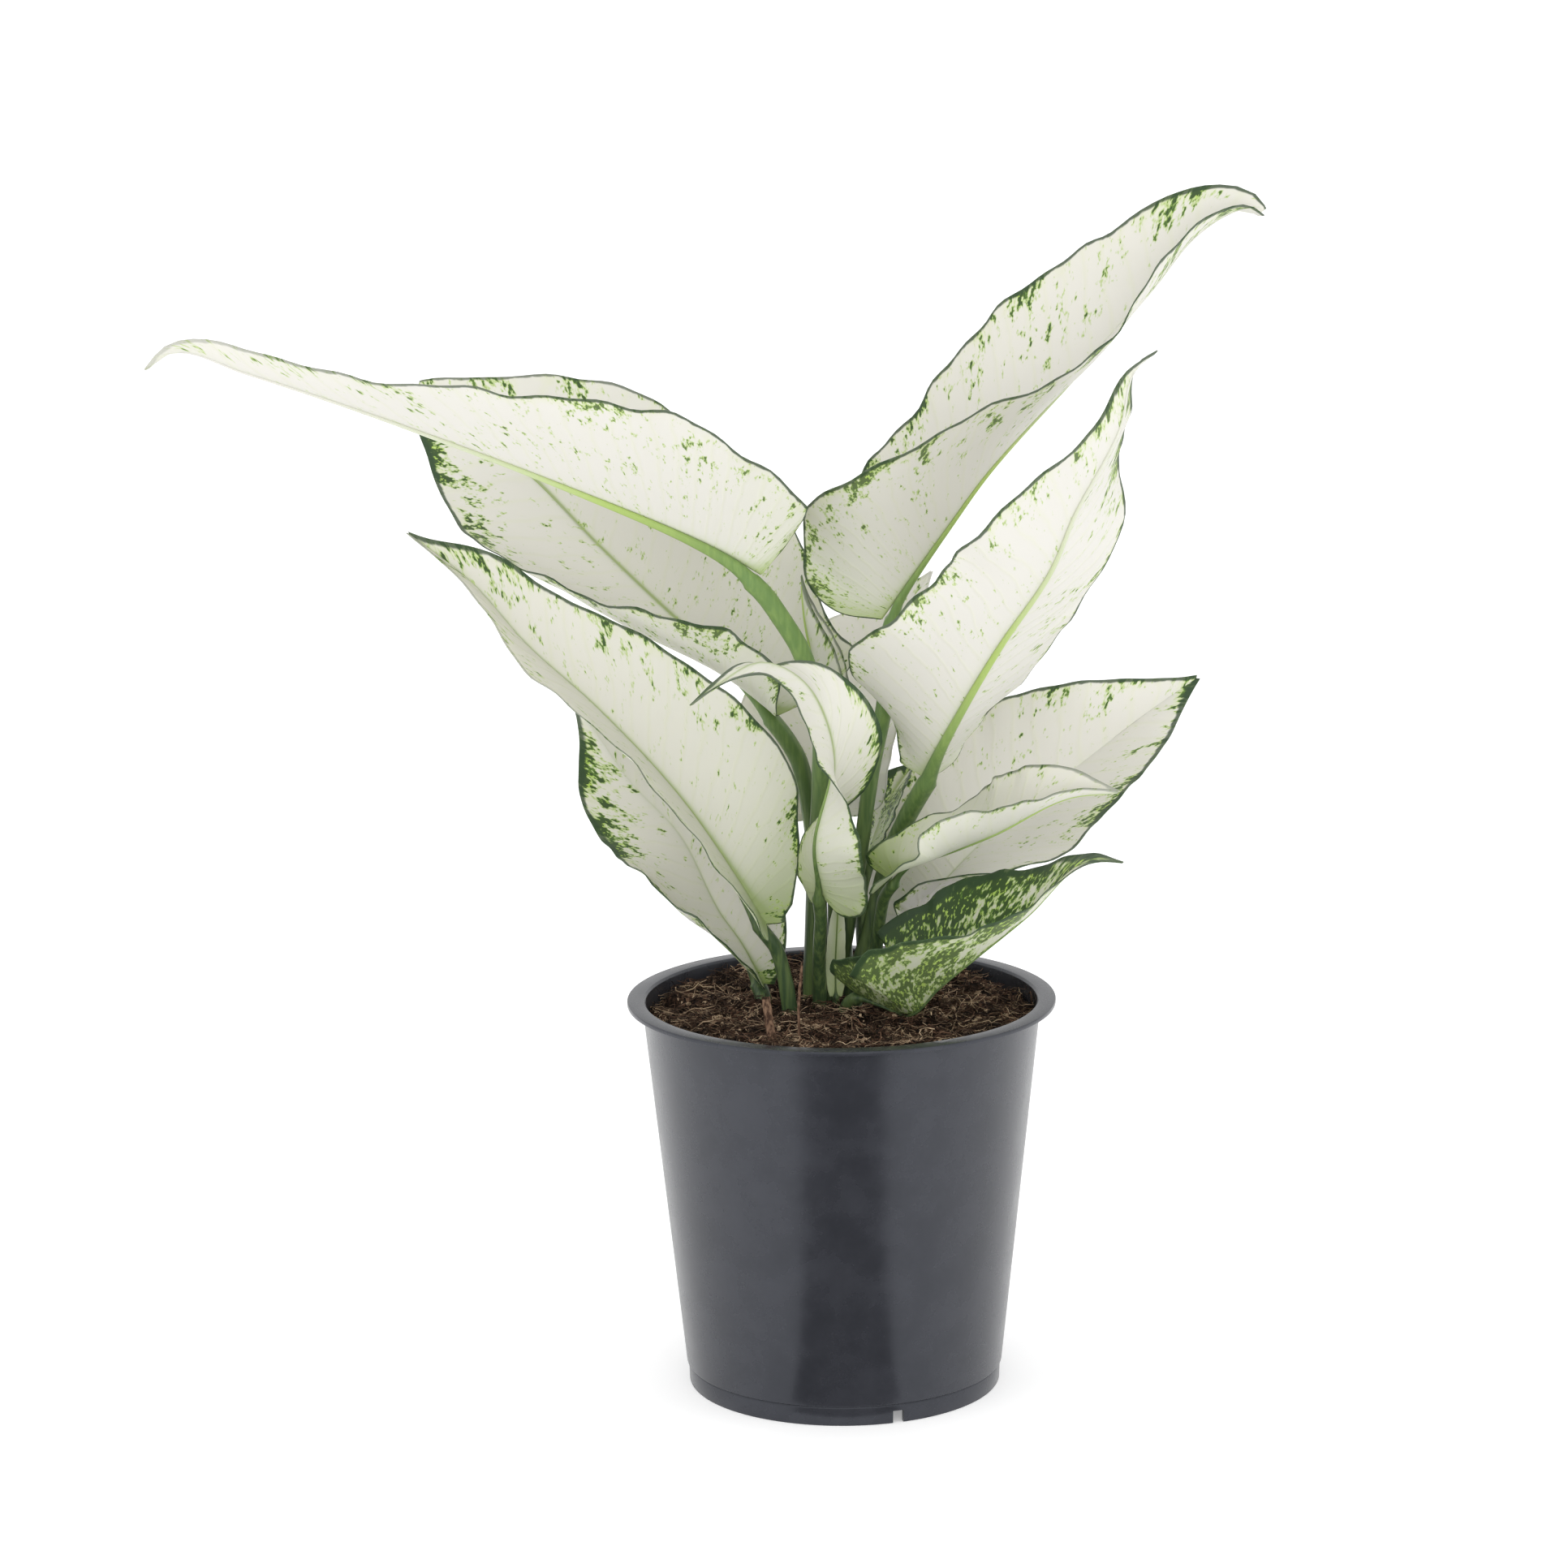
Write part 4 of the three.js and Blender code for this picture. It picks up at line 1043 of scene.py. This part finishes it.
def soil_point(radius, turn):
    x, y = on_circle(radius, turn)
    clod = noise.fractal(Vector((x / CLOD_SIZE, y / CLOD_SIZE, 3.1)), 0.7, 2, 5)
    crumb = noise.noise(Vector((x / CRUMB_SIZE, y / CRUMB_SIZE, 7.7)))
    return x, y, soil_height(x, y) + CLOD_HEIGHT * clod + CRUMB_HEIGHT * crumb


def wall_radius(z):
    return WALL_LOW[0] + WALL_SLOPE * (z - WALL_LOW[1]) - WALL_GAP


def soil_surface():
    """The surface as rings of points, the outermost against the wall, and the sides below it."""
    points = [(0, 0, soil_point(0, 0)[2])]
    turns = np.linspace(0, 2 * np.pi, SOIL_SECTORS, endpoint=False)
    for ring in range(1, SOIL_RINGS + 1):
        radius = ring / SOIL_RINGS * wall_radius(SOIL_LEVEL - 2)
        for turn in turns:
            x, y, z = soil_point(radius, turn)
            if ring == SOIL_RINGS:
                x, y = on_circle(wall_radius(z), turn)
            points.append((x, y, z))
    points += [(*on_circle(SOIL_FOOT[0], turn), SOIL_FOOT[1]) for turn in turns]
    faces = [(0, 1 + k, 1 + (k + 1) % SOIL_SECTORS) for k in range(SOIL_SECTORS)]
    faces += grid_faces(SOIL_RINGS + 1, SOIL_SECTORS, first=1, flipped=True)
    last = 1 + SOIL_RINGS * SOIL_SECTORS
    faces.append(tuple(last + k for k in range(SOIL_SECTORS))[::-1])
    return np.array(points), faces


SOIL_BLACK = colour(28, 20, 16)
SOIL_BROWN = colour(124, 94, 75)
SOIL_TAN = colour(232, 204, 170)


def soil_finish():
    finish = Finish("soil_ground")
    place = finish.place()
    grains = finish.noise(place, 900, 4, 0.65)
    clumps = finish.noise(place, 160, 3)
    tint = finish.mix(grains.ramp(0.42, 0.7) * clumps.ramp(0.42, 0.6), SOIL_BLACK, SOIL_BROWN)
    finish.set(base_color=tint, roughness=0.95, specular_ior_level=0.15)
    finish.bump(grains + clumps, 0.9, 0.0015)
    return finish.material


soil_points, soil_faces = soil_surface()
soil = mesh_object("soil_fine", soil_points, soil_faces, [soil_finish()])
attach(soil, "root")
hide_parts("soil")
print("soil:", len(soil.data.polygons), "faces")

# %% [markdown]
# ## Dried stalks
#
# Two old leaf stalks were cut off and have dried up: one flat and papery, one a mere thread. Each
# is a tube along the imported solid's own line, squeezed flat and twisted on its way up, with a
# ragged top.

# %% Dried stalks
DRIED_STALKS = {
    "dried_stalk_thick": dict(
        points=[(-19, -44, 90), (-19, -44, 108), (-20, -42, 114), (-21, -39, 121)],
        thick=(0.9, 1.25), flat=0.45, twist=0.3, rough=0.4),
    "dried_stalk_thin": dict(
        points=[(-12, -36, 90), (-12, -36, 108), (-12, -33, 118), (-11, -29, 128)],
        thick=(0.6, 0.35), flat=0.7, twist=4.0, rough=0.3),
}
DRIED_SIDES = 16
DRIED_RINGS = 60
CREASE_SCALE = 2.2
CREASE_LENGTH = 3
RAGGED_TOP = (-1.2, 0.4)
RAGGED_SEED = 4
STRAW = colour(126, 100, 80)
STRAW_DARK = colour(58, 40, 30)


def dried_finish():
    finish = Finish("dried_stalk_skin")
    streaks = finish.streaks((1500, 1500, 160), 4, 0.6)
    finish.set(base_color=finish.mix(streaks.ramp(0.36, 0.66), STRAW_DARK, STRAW), roughness=0.8)
    finish.set(specular_ior_level=0.2)
    finish.bump(streaks, 0.6, 0.0005)
    return finish.material


def dried_stalk(stalk):
    path = Path(stalk["points"])
    along = np.linspace(0, path.length, DRIED_RINGS)
    ways = path.tangent(along)
    across = unit(np.cross(ways, (0, 1, 0)))
    upper = np.cross(ways, across)
    shape = random.Random(RAGGED_SEED)
    points = []
    for i, centre in enumerate(path.at(along)):
        share = along[i] / path.length
        radius = stalk["thick"][0] * (1 - share) + stalk["thick"][1] * share
        cosine, sine = math.cos(stalk["twist"] * share), math.sin(stalk["twist"] * share)
        for k in range(DRIED_SIDES):
            x, y = on_circle(1, 2 * math.pi * k / DRIED_SIDES)
            spot = Vector((CREASE_SCALE * x, CREASE_SCALE * y, along[i] / CREASE_LENGTH))
            bulge = radius * (1 + stalk["rough"] * noise.noise(spot))
            a, b = bulge * x, bulge * stalk["flat"] * y
            ragged = shape.uniform(*RAGGED_TOP) if i == DRIED_RINGS - 1 else 0
            points.append(centre + (a * cosine - b * sine) * across[i]
                          + (a * sine + b * cosine) * upper[i] + ragged * ways[i])
    return np.array(points), tube_faces(DRIED_RINGS, DRIED_SIDES)


straw = dried_finish()
for name, stalk in DRIED_STALKS.items():
    points, faces = dried_stalk(stalk)
    piece = mesh_object(name + "_fine", points, faces, [straw])
    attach(piece, "root")
    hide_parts(name)
    print(piece.name, len(faces), "faces")

# %% [markdown]
# ## Litter on the soil
#
# Up close the soil is a felt of brown fibres with crumbs of peat among them. Each fibre is a
# short line laid on the surface at random, bent by noise and given a thin three-sided skin.
# Three sizes do: short fibres by the thousand, a few hundred longer strands and some stout
# roots. A crumb is a small ball, flattened and roughened. Noise hovers round a half, so taking a
# little less than a half off its height lifts the fibres. Whatever would stick out through the
# pot's wall is drawn back inside. Every random number has a fixed seed.

# %% Fibres and crumbs
FIBRE_KINDS = {
    "soil_fibres": dict(count=4800, points=6, low=2.5, high=7.5, radius=0.085, wave=1.6,
                        lift=0.8, seed=3),
    "soil_strands": dict(count=420, points=10, low=8, high=16, radius=0.11, wave=2.8,
                         lift=1.1, seed=8),
    "soil_roots": dict(count=24, points=14, low=12, high=26, radius=0.2, wave=4.5,
                       lift=1.4, seed=12),
}
FIBRE_TILT = 0.35
FIBRE_BENDS = 260.0
FIBRE_MIDDLE = (0.5, 0.5, 0.42)
FIBRE_LIMIT = 53.8 * MM
CRUMB_COUNT = 4500
CRUMB_LEAST = 0.25 * MM
CRUMB_SPAN = 1.1 * MM
CRUMB_SHAPE = (1, 0.7, 0.55)
CRUMB_DENTS = 1400.0
CRUMB_MIDDLE = (0.5, 0.5, 0.5)
CRUMB_ROUGH = 0.9 * MM
CRUMB_LIMIT = 54.0 * MM
SHADE_SEED = 21
FIBRE_SEEDS = dict(tilt=5, heading=6, length=7)
CRUMB_SEEDS = dict(place=5, turns=(2, 3, 4), size=9)
TOP_HEIGHT = 90 * MM
TOP_AREA = sum(face.area for face in soil.data.polygons if face.center.z > TOP_HEIGHT)


def litter_finish():
    finish = Finish("soil_litter")
    shade = Value(finish, finish.attribute("shade")["Fac"])
    grain = finish.noise(finish.place(), 1500, 2)
    clumps = finish.noise(finish.place(), 130, 3).ramp(0.42, 0.56)
    dark = finish.mix(shade.ramp(0.0, 0.6) * (0.25 + clumps * 0.75), SOIL_BLACK, SOIL_BROWN)
    tint = finish.mix(shade.ramp(0.6, 0.95) * (0.2 + clumps * 0.8), dark, SOIL_TAN)
    finish.set(base_color=finish.mix(grain * 0.4, tint, SOIL_BLACK), roughness=0.9)
    finish.set(specular_ior_level=0.2)
    return finish.material


def inside_pot(tree, geometry):
    """Draws points that lie past the wall back to it."""
    place = tree.place()
    flat = tree.vector_maths("MULTIPLY", place, (1, 1, 0))
    radius = tree.node("ShaderNodeVectorMath", {0: flat}, 1, operation="LENGTH")
    share = (tree["limit"] / radius).least(1)
    held = tree.vector_maths("MULTIPLY", place, tree.vector(share, share, 1.0))
    return tree.node("SetPosition", {0: geometry, "Position": held})


def scatter(tree):
    """Points on the upper side of the soil, each with a shade of its own."""
    height = tree.node("ShaderNodeSeparateXYZ", {0: tree.place()}, 2)
    top = tree.node("FunctionNodeCompare", {0: height, 1: TOP_HEIGHT}, data_type="FLOAT",
                    operation="GREATER_THAN")
    upper = tree.node("SeparateGeometry", {0: tree["Geometry"], "Selection": top},
                      domain="FACE")
    spread = {0: upper, "Density": tree["density"], "Seed": tree["seed"]}
    points = tree.node("DistributePointsOnFaces", spread, distribute_method="RANDOM")
    shade = {0: points, "Name": "shade", "Value": tree.random(0, 1, SHADE_SEED)}
    return tree.node("StoreNamedAttribute", shade, data_type="FLOAT", domain="POINT")


def strewn(tree, item, turn, size, scale, middle, shake, lift):
    """Items strewn on the soil, bent by noise, lifted and kept inside the pot."""
    laid = tree.node("InstanceOnPoints", {"Points": scatter(tree), "Instance": item,
                                          "Rotation": turn, "Scale": size})
    real = tree.node("RealizeInstances", {0: laid})
    waves = tree.node("ShaderNodeTexNoise", {"Vector": tree.place(), "Scale": scale}, 1)
    push = tree.vector_maths("SCALE", tree.vector_maths("SUBTRACT", waves, middle), shake)
    push = tree.vector_maths("ADD", push, tree.vector(0.0, 0.0, lift))
    return inside_pot(tree, tree.node("SetPosition", {0: real, "Offset": push}))


def fibre_tree(kind, material):
    tree = Tree("fibre_tree", density=kind["count"] / TOP_AREA, seed=kind["seed"],
                radius=kind["radius"] * MM, wave=2 * kind["wave"] * MM, lift=kind["lift"] * MM,
                limit=FIBRE_LIMIT, points=kind["points"])
    line = tree.node("CurvePrimitiveLine", {"Start": (-0.5, 0, 0), "End": (0.5, 0, 0)})
    line = tree.node("ResampleCurve", {0: line, "Count": tree["points"]}, mode="COUNT")
    turn = tree.vector(0.0, tree.random(-FIBRE_TILT, FIBRE_TILT, FIBRE_SEEDS["tilt"]),
                       tree.random(0, 2 * math.pi, FIBRE_SEEDS["heading"]))
    length = tree.random(kind["low"] * MM, kind["high"] * MM, FIBRE_SEEDS["length"])
    bent = strewn(tree, line, turn, length, FIBRE_BENDS, FIBRE_MIDDLE, tree["wave"],
                  tree["lift"])
    profile = tree.node("CurvePrimitiveCircle", {"Resolution": 3, "Radius": tree["radius"]},
                        mode="RADIUS")
    skinned = tree.node("CurveToMesh", {"Curve": bent, "Profile Curve": profile,
                                        "Fill Caps": True})
    tree.close(skinned, material)
    return tree


def crumb_tree(material):
    tree = Tree("crumb_tree", density=CRUMB_COUNT / TOP_AREA, seed=CRUMB_SEEDS["place"],
                limit=CRUMB_LIMIT)
    ball = tree.node("MeshIcoSphere", {"Radius": 1.0, "Subdivisions": 1})
    turn = tree.vector(*(tree.random(0, 6.28, seed) for seed in CRUMB_SEEDS["turns"]))
    size = tree.random(0, 1, CRUMB_SEEDS["size"]) ** 3 * CRUMB_SPAN + CRUMB_LEAST
    flat = tree.vector(*(size * share for share in CRUMB_SHAPE))
    rough = strewn(tree, ball, turn, flat, CRUMB_DENTS, CRUMB_MIDDLE, CRUMB_ROUGH, 0.0)
    tree.close(rough, material)
    return tree


litter_material = litter_finish()
litter_trees = {name: fibre_tree(kind, litter_material) for name, kind in FIBRE_KINDS.items()}
litter_trees["soil_crumbs"] = crumb_tree(litter_material)
for name, tree in litter_trees.items():
    litter = tree.run(name, soil.data)
    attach(litter, "root")
    print(name, len(litter.data.polygons), "faces")
